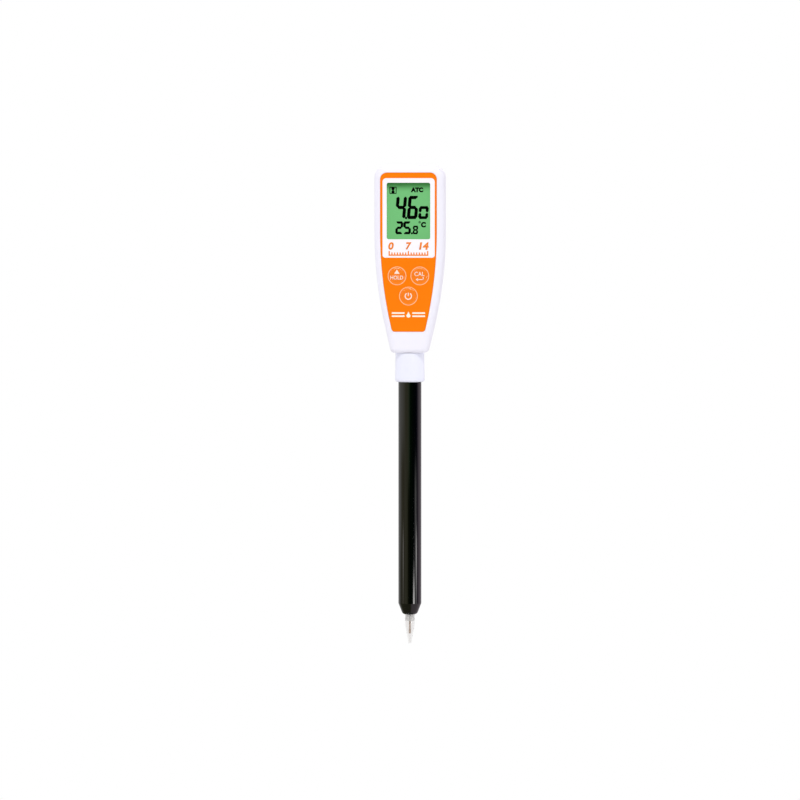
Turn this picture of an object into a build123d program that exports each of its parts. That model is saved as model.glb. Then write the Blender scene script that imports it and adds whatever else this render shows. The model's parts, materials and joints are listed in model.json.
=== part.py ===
"""Pen-type digital pH meter: a two-part housing with a display, plugged onto a long tube electrode.

Millimetres. +Z runs up the meter to its display end and the display faces -Y. The origin lies on
the axis of the probe, at the lower face of the probe collar.
"""

import os
from math import cos, radians, sin, sqrt, tan

from build123d import *

# ---- Housing ----
HOUSING_BASE = 15.9          # foot of the housing above the lower face of the collar
HOUSING_LENGTH = 102.1
HOUSING_WIDTH = 37.9
FRONT_DEPTH = 9.3            # probe axis to the front face
BACK_DEPTH = 14.2            # probe axis to the back face, behind the cells
FOOT_BACK_DEPTH = 9.6        # probe axis to the back face at the foot
BACK_SLOPE_LENGTH = 40.0     # height of the sloping lower back
BACK_BEND_RADIUS = 150.0
PARTING_DEPTH = 2.5          # probe axis to the joint between the shells
WALL = 2.0
SIDE_STRAIGHT_LENGTH = 36.0  # straight stretch of each side, down from the top
SIDE_RADIUS = 232.0          # long curve of each side between straight and taper
FOOT_TAPER = 12.7            # degrees, lower side from the vertical
TOP_CORNER = 6.5
SHOULDER = 4.2               # round between the front or back and the sides
FOOT_ROUND = 2.7

# ---- Front film and window ----
FILM_THICKNESS = 0.4
FILM_SINK = 0.1              # film face below the housing face
FILM_MARGIN = 3.5            # housing side to film
FILM_TOP_MARGIN = 3.9
FILM_FOOT_MARGIN = 11.7
FILM_TOP_CORNER = 3.75
FILM_FOOT_CORNER = 1.8
FILM_GAP = 0.1
WINDOW_SIDE_MARGIN = 7.075   # housing side to window
WINDOW_HEIGHT = 30.9
WINDOW_TOP_MARGIN = 9.2      # housing top to window
WINDOW_CORNER = 1.0
PANE_THICKNESS = 1.0
PANE_LAP = 1.3
PANE_GAP = 0.1

# ---- Display stack and board ----
LCD_THICKNESS = 2.0
LCD_AIR = 0.2                # pane to glass
LCD_LAP = 1.2                # glass beyond the window, sides and top
LCD_LEDGE = 2.4              # contact ledge below the window
LCD_FRAME_WALL = 1.0
LCD_GAP = 0.1
BACKLIGHT_LAP = 0.9
ZEBRA_WIDTH = 2.0
BOARD_DEPTH = 2.4            # probe axis to the front face of the board
BOARD_THICKNESS = 1.6
BOARD_GAP = 0.8              # board edge to housing wall
BOARD_FOOT = 21.6            # foot of the housing to the board
BOARD_HEADROOM = 1.8         # board to the inside of the top wall
CHIP_GAP = 1.0               # probe contacts to the lowest chip
LEDGE_HEIGHT = 3.0           # ledges of the front shell that carry the board
LEDGE_REACH = 1.6            # ledge under the board edge
LEDGE_STATIONS = (0.08, 0.86)  # ledge places, as shares of the straight side from its lower end

# ---- Keys and switches ----
KEY_DIAMETER = 10.3
KEY_GAP = 0.15
KEY_PITCH = 12.45            # hold key to cal key
KEY_ROW_HEIGHT = 42.1        # foot of the housing to the hold and cal keys
POWER_KEY_HEIGHT = 31.1
KEY_PLATEAU_DIAMETER = 8.9   # raised middle of the key
KEY_DOME = 0.8               # plateau above the film
KEY_FLANGE_LAP = 0.7
KEY_FLANGE_THICKNESS = 0.8
KEY_BOSS_DIAMETER = 4.8
KEY_TRAVEL = 0.5
KEY_PLAY = 0.1
SWITCH_WIDTH = 6.0
SWITCH_HEIGHT = 3.0
STEM_DIAMETER = 3.4
STEM_GAP = 0.1
STEM_ENGAGEMENT = 0.5        # stem inside its switch, key released

# ---- Cells, bay and door ----
CELL_DIAMETER = 10.5
CELL_LENGTH = 44.5
CELL_NUB_DIAMETER = 3.8
CELL_NUB_LENGTH = 1.0
CELL_GAP = 0.35
CONTACT_THICKNESS = 0.4
CONTACT_WIDTH = 7.0
SPRING_HEIGHT = 1.4
BAY_WALL = 1.0
BAY_HEADROOM = 3.5           # bay to the inside of the door's end
DOOR_WIDTH = 23.6            # at the outer face
DOVETAIL = 1.0               # door edge wider at the inner face
DOOR_FRONT_RIM = 2.5         # rear shell left between its joint and the door's end
DOOR_GAP = 0.15
DOOR_SKIRT = 0.9             # door below the bay
GRIP_GROOVES = 6
GRIP_PITCH = 2.0
GRIP_GROOVE_WIDTH = 0.9
GRIP_GROOVE_LENGTH = 11.0
GRIP_GROOVE_DEPTH = 0.5
GRIP_TOP_MARGIN = 12.0

# ---- Screws and seal ----
SCREW_PLACES = ((12.9, 36.6), (9.0, 16.6))  # half spacing, height above the foot
SCREW_DIAMETER = 2.2
SCREW_LENGTH = 12.0
SCREW_HEAD_DIAMETER = 4.0
SCREW_HEAD_HEIGHT = 1.6
SCREW_SEAT = 6.0             # head seat behind the housing joint
BOSS_DIAMETER = 4.4
COUNTERBORE_WALL = 0.8
SCREW_GAP = 0.15
GASKET_INSET = 0.6
GASKET_WIDTH = 0.8
GASKET_DEPTH = 0.9

# ---- Probe socket and plug ----
PLUG_DIAMETER = 9.2
PLUG_LENGTH = 14.0           # above the collar
PLUG_GAP = 0.08
PLUG_CHAMFER = 0.5
PLUG_FLANGE_DIAMETER = 10.4
PLUG_FLANGE_HEIGHT = 4.0
FOOT_HOLE_GAP = 0.5
SOCKET_WALL = 1.7
SOCKET_LENGTH = 18.6
SOCKET_LIP = 1.0
SOCKET_RIB = 2.8             # thickness of the shell ribs that hold the socket
SOCKET_RIB_HEIGHT = 6.9      # foot of the housing to the ribs
SOCKET_FLANGE = 1.2
SOCKET_FLANGE_LAP = 0.7
INSERT_HEIGHT = 5.0
PIN_DIAMETER = 1.0
PIN_SPACING = 3.2
PIN_LENGTH = 4.5             # above the plug
CONTACT_WALL = 0.22
CONTACT_GAP = 0.08
TAIL_DIAMETER = 0.8
TAIL_LENGTH = 7.0
O_RING_GROOVE = 0.7
O_RING_PLACE = 5.6           # foot of the housing to the O-ring
SEAT_GAP = 0.1               # collar to housing

# ---- Collar and tube ----
COLLAR_TOP_DIAMETER = 15.7
COLLAR_DIAMETER = 16.2       # at the lower end
COLLAR_ROUND = 1.4
GLUE_GAP = 0.05
TUBE_DIAMETER = 12.6
TUBE_LENGTH = 121.3          # parallel stretch below the collar
TUBE_BORE = 8.6
SPIGOT_DIAMETER = 10.4
SPIGOT_LENGTH = 9.0
NOSE_CONE_LENGTH = 4.8
NOSE_CONE_DIAMETER = 8.9
NOSE_LENGTH = 6.2
TERMINAL_THICKNESS = 1.0

# ---- Electrode ----
STEM_GLASS_DIAMETER = 5.0
STEM_GLASS_TOP = 12.0        # below the collar's lower face
GLASS_WALL = 0.5
GLASS_GAP = 0.1
BULGE_DIAMETER = 5.4
BULGE_PLACE = 4.1            # below the nose
SPEAR_DIAMETER = 3.0
SPEAR_PLACE = 11.2
POINT_DIAMETER = 2.1
POINT_PLACE = 14.2
TIP_LENGTH = 16.0
WIRE_DIAMETER = 0.65
ELEMENT_PLACE = 2.0          # below the nose
ELEMENT_DIAMETER = 1.0
ELEMENT_LENGTH = 6.3
ELEMENT_END_DIAMETER = 1.25
ELEMENT_END_LENGTH = 2.2
SEAL_LENGTH = 3.4
JUNCTION_LENGTH = 3.0
POTTING_TOP = 4.0
POTTING_LENGTH = 10.0
REFERENCE_STOP = 21.0        # reference wire ends this far above the nose cone
SENSOR_DIAMETER = 1.5
SENSOR_LENGTH = 5.0
SENSOR_STOP = 4.0            # sensor ends this far above the nose cone
LEAD_DIAMETER = 0.4
LEAD_SPACING = 0.8

# ---- Places worked out from the sizes above ----
FRONT = -FRONT_DEPTH
BACK = BACK_DEPTH
PARTING = PARTING_DEPTH
HOUSING_TOP = HOUSING_BASE + HOUSING_LENGTH
BEYOND = 2 * HOUSING_TOP     # past every face of the housing
SIDE_END = HOUSING_TOP - SIDE_STRAIGHT_LENGTH
FRONT_INNER = FRONT + WALL
BACK_INNER = BACK - WALL
INNER_TOP = HOUSING_TOP - WALL
WINDOW_WIDTH = HOUSING_WIDTH - 2 * WINDOW_SIDE_MARGIN
FILM_FACE = FRONT + FILM_SINK
FILM_SEAT = FILM_FACE + FILM_THICKNESS
WINDOW_TOP = HOUSING_TOP - WINDOW_TOP_MARGIN
WINDOW_BASE = WINDOW_TOP - WINDOW_HEIGHT
LCD_FRONT = FRONT_INNER + LCD_AIR
LCD_BACK = LCD_FRONT + LCD_THICKNESS
LCD_HALF = WINDOW_WIDTH / 2 + LCD_LAP
LCD_TOP = WINDOW_TOP + LCD_LAP
LCD_BASE = WINDOW_BASE - LCD_LEDGE
BOARD_FRONT = -BOARD_DEPTH
BOARD_BACK = BOARD_FRONT + BOARD_THICKNESS
BOARD_BASE = HOUSING_BASE + BOARD_FOOT
BOARD_TOP = INNER_TOP - BOARD_HEADROOM
KEY_PLACES = {
    "hold": (-KEY_PITCH / 2, HOUSING_BASE + KEY_ROW_HEIGHT),
    "cal": (KEY_PITCH / 2, HOUSING_BASE + KEY_ROW_HEIGHT),
    "power": (0.0, HOUSING_BASE + POWER_KEY_HEIGHT),
}
KEY_FLANGE_FRONT = FRONT_INNER + KEY_PLAY
KEY_FLANGE_BACK = KEY_FLANGE_FRONT + KEY_FLANGE_THICKNESS
SWITCH_FACE = BOARD_FRONT - SWITCH_HEIGHT
KEY_BACK = SWITCH_FACE - KEY_TRAVEL - 2 * KEY_PLAY
CELL_RADIUS = CELL_DIAMETER / 2
CELL_DEPTH = BACK_INNER - CELL_GAP - CELL_RADIUS
CELL_OFFSET = CELL_RADIUS + CELL_GAP / 2
BAY_TOP = INNER_TOP - BAY_HEADROOM - BAY_WALL
CELL_TOP = BAY_TOP - CONTACT_THICKNESS
CELL_BASE = CELL_TOP - CELL_LENGTH
BAY_BASE = CELL_BASE - SPRING_HEIGHT - CONTACT_THICKNESS
BAY_HALF = CELL_OFFSET + CELL_RADIUS + GLUE_GAP
BAY_FLOOR = CELL_DEPTH - CELL_RADIUS - GLUE_GAP
DOOR_BASE = BAY_BASE - BAY_WALL - DOOR_SKIRT
SOCKET_BASE = HOUSING_BASE + WALL
SOCKET_TOP = SOCKET_BASE + SOCKET_LENGTH
SOCKET_BORE = PLUG_DIAMETER / 2 + PLUG_GAP
SOCKET_RADIUS = SOCKET_BORE + SOCKET_WALL
INSERT_TOP = SOCKET_TOP - SOCKET_LIP
INSERT_BASE = INSERT_TOP - INSERT_HEIGHT
COLLAR_TOP = HOUSING_BASE - SEAT_GAP
PLUG_TOP = COLLAR_TOP + PLUG_LENGTH
TERMINAL_TOP = SPIGOT_LENGTH + TERMINAL_THICKNESS
PLUG_FLANGE_TOP = TERMINAL_TOP + PLUG_FLANGE_HEIGHT
PIN_TOP = PLUG_TOP + PIN_LENGTH
PIN_PLACES = [
    (side * PIN_SPACING / 2, depth)
    for side in (-1, 1)
    for depth in (BOARD_FRONT - TAIL_DIAMETER / 2, BOARD_BACK + TAIL_DIAMETER / 2)
]
NOSE = -TUBE_LENGTH - NOSE_LENGTH
REFERENCE_END = -TUBE_LENGTH + REFERENCE_STOP
SENSOR_BASE = -TUBE_LENGTH + SENSOR_STOP
SENSOR_TOP = SENSOR_BASE + SENSOR_LENGTH
MOUTH_RADIUS = STEM_GLASS_DIAMETER / 2 + GLASS_GAP
ANNULUS_RADIUS = (STEM_GLASS_DIAMETER + TUBE_BORE) / 4


# ---- Building helpers ----
def block(x, y, z):
    """A box from its three pairs of limits."""
    size = (x[1] - x[0], y[1] - y[0], z[1] - z[0])
    centre = ((x[0] + x[1]) / 2, (y[0] + y[1]) / 2, (z[0] + z[1]) / 2)
    return Pos(*centre) * Box(*size)


def prism(face, front, back):
    """A face drawn in front view, as (x, z), run from one depth to another."""
    return extrude(Plane.XZ.offset(-back) * face, amount=back - front)


def rod(x, y, diameter, base, top):
    """A cylinder along Z."""
    return Pos(x, y, (base + top) / 2) * Cylinder(diameter / 2, top - base)


def pin_along_y(x, z, diameter, front, back):
    """A cylinder along Y."""
    return Pos(x, (front + back) / 2, z) * Rot(90, 0, 0) * Cylinder(diameter / 2, back - front)


def lathe(profile):
    """A closed (radius, height) profile turned about Z."""
    return revolve(Plane.XZ * profile, Axis.Z)


def turned(*points):
    """A body turned about Z from the corners of its (radius, height) profile."""
    return lathe(Polygon(*points, align=None))


def rectangle(half_width, base, top, corner):
    """A rounded rectangle in front view."""
    face = Pos(0, (base + top) / 2) * Rectangle(2 * half_width, top - base)
    return fillet(face.vertices(), corner)


def pen_outline(inset, base, top, foot_corner=0.0, top_corner=0.0):
    """The front outline between two heights: straight sides, a long curve, then a taper."""
    side = HOUSING_WIDTH / 2 - inset
    radius = SIDE_RADIUS - inset
    centre = HOUSING_WIDTH / 2 - SIDE_RADIUS
    taper = radians(FOOT_TAPER)

    def on_curve(angle):
        return centre + radius * cos(angle), SIDE_END - radius * sin(angle)

    middle, end = on_curve(taper / 2), on_curve(taper)
    foot = end[0] - (end[1] - HOUSING_BASE) * tan(taper)
    edges = [Line((-side, top), (side, top)), Line((-foot, HOUSING_BASE), (foot, HOUSING_BASE))]
    for s in (-1, 1):
        edges.append(Line((s * side, top), (s * side, SIDE_END)))
        edges.append(ThreePointArc((s * side, SIDE_END), (s * middle[0], middle[1]),
                                   (s * end[0], end[1])))
        edges.append(Line((s * end[0], end[1]), (s * foot, HOUSING_BASE)))
    face = make_face(edges) & Pos(0, (base + top) / 2) * Rectangle(2 * side, top - base)
    if top_corner > 0:
        face = fillet(face.vertices().filter_by(lambda v: abs(v.Y - top) < 1e-6), top_corner)
    if foot_corner > 0:
        face = fillet(face.vertices().filter_by(lambda v: abs(v.Y - base) < 1e-6), foot_corner)
    return face


def housing_form(inset):
    """The whole housing as one solid, every face moved in by the same amount."""
    base, top = HOUSING_BASE + inset, HOUSING_TOP - inset
    slope_top = HOUSING_BASE + BACK_SLOPE_LENGTH
    slope = (BACK_DEPTH - FOOT_BACK_DEPTH) / BACK_SLOPE_LENGTH
    foot_back = FOOT_BACK_DEPTH + slope * inset - inset * sqrt(1 + slope ** 2)
    bend = slope_top - inset * (sqrt(1 + slope ** 2) - 1) / slope
    side_view = Polygon(
        (FRONT + inset, base), (foot_back, base), (BACK - inset, bend),
        (BACK - inset, top), (FRONT + inset, top), align=None,
    )
    corner = side_view.vertices().sort_by_distance((BACK - inset, bend, 0))[0]
    side_view = fillet(corner, BACK_BEND_RADIUS - inset)
    slab = extrude(Plane.YZ * side_view, amount=HOUSING_WIDTH, both=True)
    front_view = pen_outline(inset, base, top, top_corner=TOP_CORNER - inset)
    form = prism(front_view, FRONT - 1, BACK + 1) & slab
    front_rim = form.faces().sort_by(Axis.Y)[0].edges()
    form = fillet([e for e in front_rim if e.center().Z > base + 0.01], SHOULDER - inset)
    back_rim = [
        e for e in form.edges()
        if e.bounding_box().min.Y > FOOT_BACK_DEPTH - inset - 0.5 and e.center().Z > base + 0.01
        and not (e.geom_type == GeomType.LINE and abs(e.tangent_at(0.5).X) > 0.9 and e.center().Z < top - 1)
    ]
    form = fillet(back_rim, SHOULDER - inset)
    foot_rim = form.faces().sort_by(Axis.Z)[0].edges()
    return fillet(foot_rim, FOOT_ROUND - inset)


# ---- Housing ----
def screw_places():
    """The (x, z) places of the housing screws."""
    return [(s * half, HOUSING_BASE + height) for half, height in SCREW_PLACES for s in (-1, 1)]


def socket_cut(gap, back):
    """The slot in a shell's ribs for the probe socket, open toward the other shell."""
    radius = SOCKET_RADIUS + gap
    z = (HOUSING_BASE, SOCKET_TOP)
    return rod(0, 0, 2 * radius, *z) + block((-radius, radius), (0, back), z)


def make_front_housing(outer, inner):
    behind = block((-BEYOND, BEYOND), (PARTING, BEYOND), (-BEYOND, BEYOND))
    shell = outer - inner - behind
    for x, z in screw_places():
        shell += pin_along_y(x, z, BOSS_DIAMETER, FRONT_INNER - GLUE_GAP, PARTING)
    side = HOUSING_WIDTH / 2 - WALL
    for s in (-1, 1):
        for share in LEDGE_STATIONS:
            z = SIDE_END + share * SIDE_STRAIGHT_LENGTH
            x = sorted((s * (side - BOARD_GAP - LEDGE_REACH), s * (side + GLUE_GAP)))
            shell += block(x, (FRONT_INNER - GLUE_GAP, BOARD_FRONT), (z, z + LEDGE_HEIGHT))
    rib_base = HOUSING_BASE + SOCKET_RIB_HEIGHT
    rib = block((-BEYOND, BEYOND), (-BEYOND, PARTING), (rib_base, rib_base + SOCKET_RIB)) & outer
    shell += rib - socket_cut(0, PARTING)

    recess = pen_outline(FILM_MARGIN - FILM_GAP, HOUSING_BASE + FILM_FOOT_MARGIN - FILM_GAP,
                         HOUSING_TOP - FILM_TOP_MARGIN + FILM_GAP, FILM_FOOT_CORNER, FILM_TOP_CORNER)
    shell -= prism(recess, FRONT - 1, FILM_SEAT)
    window = rectangle(WINDOW_WIDTH / 2, WINDOW_BASE, WINDOW_TOP, WINDOW_CORNER)
    shell -= prism(window, FRONT - 1, FRONT_INNER + 1)
    rebate = rectangle(WINDOW_WIDTH / 2 + PANE_LAP, WINDOW_BASE - PANE_LAP, WINDOW_TOP + PANE_LAP,
                       WINDOW_CORNER)
    shell -= prism(rebate, FRONT_INNER - PANE_THICKNESS, FRONT_INNER + 1)
    for x, z in KEY_PLACES.values():
        shell -= pin_along_y(x, z, KEY_DIAMETER + 2 * KEY_GAP, FRONT - 1, FRONT_INNER + 1)
    for x, z in screw_places():
        shell -= pin_along_y(x, z, SCREW_DIAMETER, PARTING + SCREW_SEAT - SCREW_LENGTH, PARTING + 1)
    shell -= rod(0, 0, PLUG_DIAMETER + 2 * FOOT_HOLE_GAP, HOUSING_BASE - 1, SOCKET_BASE + 0.01)
    return shell - gasket_band(GASKET_DEPTH)


def gasket_band(depth):
    """A band along the joint of the shells, open round the probe socket."""
    def loop(inset):
        return pen_outline(inset, HOUSING_BASE + inset, HOUSING_TOP - inset, FOOT_ROUND - inset,
                           TOP_CORNER - inset)

    band = prism(loop(GASKET_INSET), PARTING - depth, PARTING)
    band -= prism(loop(GASKET_INSET + GASKET_WIDTH), PARTING - depth - 1, PARTING + 1)
    half_gap = PLUG_DIAMETER / 2 + FOOT_HOLE_GAP + GASKET_WIDTH
    return band - block((-half_gap, half_gap), (-BEYOND, BEYOND), (HOUSING_BASE - 1, SOCKET_BASE + 1))


def door_slot(gap):
    """The dovetail stretch of the back and the top end that the battery door fills."""
    outer_half = DOOR_WIDTH / 2 + gap
    inner_half = outer_half + DOVETAIL
    front = PARTING + DOOR_FRONT_RIM - gap
    plan = Polygon(
        (-inner_half, front), (inner_half, front), (inner_half, BACK_INNER),
        (outer_half, BACK), (outer_half, BACK + 2), (-outer_half, BACK + 2),
        (-outer_half, BACK), (-inner_half, BACK_INNER), align=None,
    )
    base = DOOR_BASE - gap
    return Pos(0, 0, base) * extrude(plan, amount=HOUSING_TOP + 2 - base)


def make_rear_housing(outer, inner):
    ahead = block((-BEYOND, BEYOND), (-BEYOND, PARTING), (-BEYOND, BEYOND))
    shell = outer - inner - ahead - door_slot(DOOR_GAP)
    bay_half = BAY_HALF + BAY_WALL
    bay = block((-bay_half, bay_half), (BAY_FLOOR - BAY_WALL, BACK_INNER - DOOR_GAP),
                (BAY_BASE - BAY_WALL, BAY_TOP + BAY_WALL))
    # end walls of the bay run on to the sides of the shell, and a step joins its foot to the back
    side = HOUSING_WIDTH / 2 - WALL + GLUE_GAP
    under_door = BACK_INNER - DOOR_GAP
    for s in (-1, 1):
        wing = sorted((s * (bay_half - GLUE_GAP), s * side))
        for z in (BAY_BASE - BAY_WALL, BAY_TOP):
            bay += block(wing, (PARTING, under_door), (z, z + BAY_WALL))
    step = DOOR_BASE - DOOR_GAP
    bay += block((-bay_half, bay_half), (under_door - BAY_WALL, under_door), (step - WALL, BAY_BASE))
    bay += block((-bay_half, bay_half), (under_door - BAY_WALL, BACK_INNER + GLUE_GAP), (step - WALL, step))
    shell += bay
    for s in (-1, 1):
        for z in (BAY_BASE + BAY_WALL, BAY_TOP - BAY_WALL):
            shell += pin_along_y(s * CELL_OFFSET, z, LEDGE_HEIGHT, BOARD_BACK, BAY_FLOOR)
    shell -= block((-BAY_HALF, BAY_HALF), (BAY_FLOOR, BACK + 1), (BAY_BASE, BAY_TOP))

    seat = PARTING + SCREW_SEAT
    bore = SCREW_HEAD_DIAMETER + 2 * SCREW_GAP
    for x, z in screw_places():
        boss = pin_along_y(x, z, BOSS_DIAMETER, PARTING, BACK)
        boss += pin_along_y(x, z, bore + 2 * COUNTERBORE_WALL, seat - COUNTERBORE_WALL, BACK)
        shell += (boss & outer) - door_slot(DOOR_GAP)
    rib_base = HOUSING_BASE + SOCKET_RIB_HEIGHT
    rib = block((-BEYOND, BEYOND), (PARTING, BEYOND), (rib_base, rib_base + SOCKET_RIB)) & outer
    shell += rib - rod(0, 0, 2 * SOCKET_RADIUS, HOUSING_BASE, SOCKET_TOP)
    for x, z in screw_places():
        shell -= pin_along_y(x, z, bore, seat, BACK + 1)
        shell -= pin_along_y(x, z, SCREW_DIAMETER + 2 * SCREW_GAP, PARTING - 1, BACK)
    return shell - rod(0, 0, PLUG_DIAMETER + 2 * FOOT_HOLE_GAP, HOUSING_BASE - 1, SOCKET_BASE + 0.01)


def make_battery_door(outer, inner):
    door = (outer - inner) & door_slot(0)
    for i in range(GRIP_GROOVES):
        z = HOUSING_TOP - GRIP_TOP_MARGIN - i * GRIP_PITCH
        half = GRIP_GROOVE_LENGTH / 2
        door -= block((-half, half), (BACK - GRIP_GROOVE_DEPTH, BACK + 1), (z - GRIP_GROOVE_WIDTH, z))
    return door


def make_housing_screws():
    """Self-tapping screws from the back, with a cross recess."""
    seat = PARTING + SCREW_SEAT
    screws = []
    for x, z in screw_places():
        head = pin_along_y(x, z, SCREW_HEAD_DIAMETER, seat, seat + SCREW_HEAD_HEIGHT)
        crown = head.faces().sort_by(Axis.Y)[-1].edges()
        head = chamfer(crown, SCREW_HEAD_HEIGHT / 4)
        shank = pin_along_y(x, z, SCREW_DIAMETER, seat - SCREW_LENGTH, seat)
        arm, slot = SCREW_HEAD_DIAMETER * 0.3, SCREW_HEAD_DIAMETER * 0.08
        depth = (seat + SCREW_HEAD_HEIGHT / 2, seat + SCREW_HEAD_HEIGHT + 1)
        cross = block((x - arm, x + arm), depth, (z - slot, z + slot))
        cross += block((x - slot, x + slot), depth, (z - arm, z + arm))
        screws.append(head + shank - cross)
    return Compound(screws)


# ---- Front film, window and display ----
def make_faceplate_film():
    outline = pen_outline(FILM_MARGIN, HOUSING_BASE + FILM_FOOT_MARGIN, HOUSING_TOP - FILM_TOP_MARGIN,
                          FILM_FOOT_CORNER, FILM_TOP_CORNER)
    film = prism(outline, FILM_FACE, FILM_SEAT)
    window = rectangle(WINDOW_WIDTH / 2, WINDOW_BASE, WINDOW_TOP, WINDOW_CORNER)
    film -= prism(window, FRONT - 1, FRONT_INNER)
    for x, z in KEY_PLACES.values():
        film -= pin_along_y(x, z, KEY_DIAMETER + 2 * KEY_GAP, FRONT - 1, FRONT_INNER)
    return film


def make_display_window():
    lap = PANE_LAP - PANE_GAP
    pane = rectangle(WINDOW_WIDTH / 2 + lap, WINDOW_BASE - lap, WINDOW_TOP + lap, WINDOW_CORNER)
    return prism(pane, FRONT_INNER - PANE_THICKNESS, FRONT_INNER)


def make_lcd_panel():
    """Two glass plates: the rear one ends above the contact ledge."""
    middle = LCD_FRONT + LCD_THICKNESS / 2
    front = block((-LCD_HALF, LCD_HALF), (LCD_FRONT, middle), (LCD_BASE, LCD_TOP))
    rear = block((-LCD_HALF, LCD_HALF), (middle, LCD_BACK), (LCD_BASE + ZEBRA_WIDTH, LCD_TOP))
    return front + rear


def make_backlight():
    half = WINDOW_WIDTH / 2 + BACKLIGHT_LAP
    z = (LCD_BASE + ZEBRA_WIDTH + LCD_GAP, LCD_TOP - LCD_GAP)
    return block((-half, half), (LCD_BACK, BOARD_FRONT), z)


def make_zebra_connector():
    half = WINDOW_WIDTH / 2
    y = (LCD_FRONT + LCD_THICKNESS / 2, BOARD_FRONT)
    return block((-half, half), y, (LCD_BASE, LCD_BASE + ZEBRA_WIDTH))


def make_lcd_frame():
    half = LCD_HALF + LCD_GAP
    outer = half + LCD_FRAME_WALL
    base, top = LCD_BASE - LCD_GAP, LCD_TOP + LCD_GAP
    frame = block((-outer, outer), (LCD_FRONT, BOARD_FRONT), (base - LCD_FRAME_WALL, top + LCD_FRAME_WALL))
    return frame - block((-half, half), (LCD_FRONT - 1, BOARD_FRONT + 1), (base, top))


# ---- Circuit board ----
def make_circuit_board():
    inset = WALL + BOARD_GAP
    outline = pen_outline(inset, BOARD_BASE, BOARD_TOP, top_corner=TOP_CORNER - inset)
    board = prism(outline, BOARD_FRONT, BOARD_BACK)
    for x, z in screw_places():
        board -= pin_along_y(x, z, BOSS_DIAMETER + 2 * BOARD_GAP, BOARD_FRONT - 1, BOARD_BACK + 1)
    return board


def make_board_chips():
    """Controller, amplifier and memory on the back of the board, above the probe contacts."""
    sizes = ((0.0, 8.0, 7.0, 1.4), (-7.5, 4.0, 5.0, 1.2), (7.2, 3.0, 3.0, 1.0))
    z = INSERT_TOP + TAIL_LENGTH + CHIP_GAP + max(h for _, _, h, _ in sizes) / 2
    return Compound([
        block((x - w / 2, x + w / 2), (BOARD_BACK, BOARD_BACK + t), (z - h / 2, z + h / 2))
        for x, w, h, t in sizes
    ])


def make_tact_switches():
    """Square switch bodies on the board, each with a well for its stem."""
    half = SWITCH_WIDTH / 2
    well = KEY_TRAVEL + STEM_ENGAGEMENT + KEY_TRAVEL
    bodies = []
    for x, z in KEY_PLACES.values():
        body = block((x - half, x + half), (SWITCH_FACE, BOARD_FRONT), (z - half, z + half))
        body = chamfer(body.edges().filter_by(Axis.Y), SWITCH_WIDTH / 12)
        hole = pin_along_y(x, z, STEM_DIAMETER + 2 * STEM_GAP, SWITCH_FACE - 1, SWITCH_FACE + well)
        bodies.append(body - hole)
    return Compound(bodies)


def make_switch_stem(x, z):
    return pin_along_y(x, z, STEM_DIAMETER, KEY_BACK, SWITCH_FACE + STEM_ENGAGEMENT)


def make_key(x, z):
    """A raised cap with a flange behind the housing wall and a boss that meets the switch stem."""
    cap = pin_along_y(x, z, KEY_PLATEAU_DIAMETER, FILM_FACE - KEY_DOME, KEY_FLANGE_FRONT)
    cap = fillet(cap.faces().sort_by(Axis.Y)[0].edges(), KEY_DOME * 0.95)
    cap += pin_along_y(x, z, KEY_DIAMETER, FILM_FACE, KEY_FLANGE_FRONT)
    cap += pin_along_y(x, z, KEY_DIAMETER + 2 * KEY_FLANGE_LAP, KEY_FLANGE_FRONT, KEY_FLANGE_BACK)
    return cap + pin_along_y(x, z, KEY_BOSS_DIAMETER, KEY_FLANGE_BACK, KEY_BACK)


# ---- Cells and contacts ----
def make_battery_cells():
    """Two cells side by side, turned opposite ways."""
    can_length = CELL_LENGTH - CELL_NUB_LENGTH
    cells = []
    for x, can_base, nub_base in (
        (-CELL_OFFSET, CELL_BASE, CELL_TOP - CELL_NUB_LENGTH),
        (CELL_OFFSET, CELL_BASE + CELL_NUB_LENGTH, CELL_BASE),
    ):
        can = rod(x, CELL_DEPTH, CELL_DIAMETER, can_base, can_base + can_length)
        can = chamfer(can.edges().filter_by(GeomType.CIRCLE), CELL_NUB_LENGTH / 2)
        cells.append(can + rod(x, CELL_DEPTH, CELL_NUB_DIAMETER, nub_base, nub_base + CELL_NUB_LENGTH))
    return Compound(cells)


def make_battery_contacts():
    """One plate joins the cells at the top, two stand at the bottom."""
    half = CONTACT_WIDTH / 2
    y = (CELL_DEPTH - half, CELL_DEPTH + half)
    plates = [block((-CELL_OFFSET - half, CELL_OFFSET + half), y, (CELL_TOP, BAY_TOP))]
    for s in (-1, 1):
        x = (s * CELL_OFFSET - half, s * CELL_OFFSET + half)
        plates.append(block(x, y, (BAY_BASE, BAY_BASE + CONTACT_THICKNESS)))
    return Compound(plates)


def make_battery_springs():
    """Arched leaf springs that press the cells up."""
    base = BAY_BASE + CONTACT_THICKNESS
    half = CONTACT_WIDTH / 2
    leaves = []
    for s in (-1, 1):
        x = s * CELL_OFFSET
        arch = ThreePointArc((x - half, base), (x, CELL_BASE - CONTACT_THICKNESS), (x + half, base))
        crest = ThreePointArc((x + half, base), (x, CELL_BASE), (x - half, base))
        y = CELL_DEPTH - half / 2, CELL_DEPTH + half / 2
        leaves.append(prism(make_face([arch, crest]), *y))
    return Compound(leaves)


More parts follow.
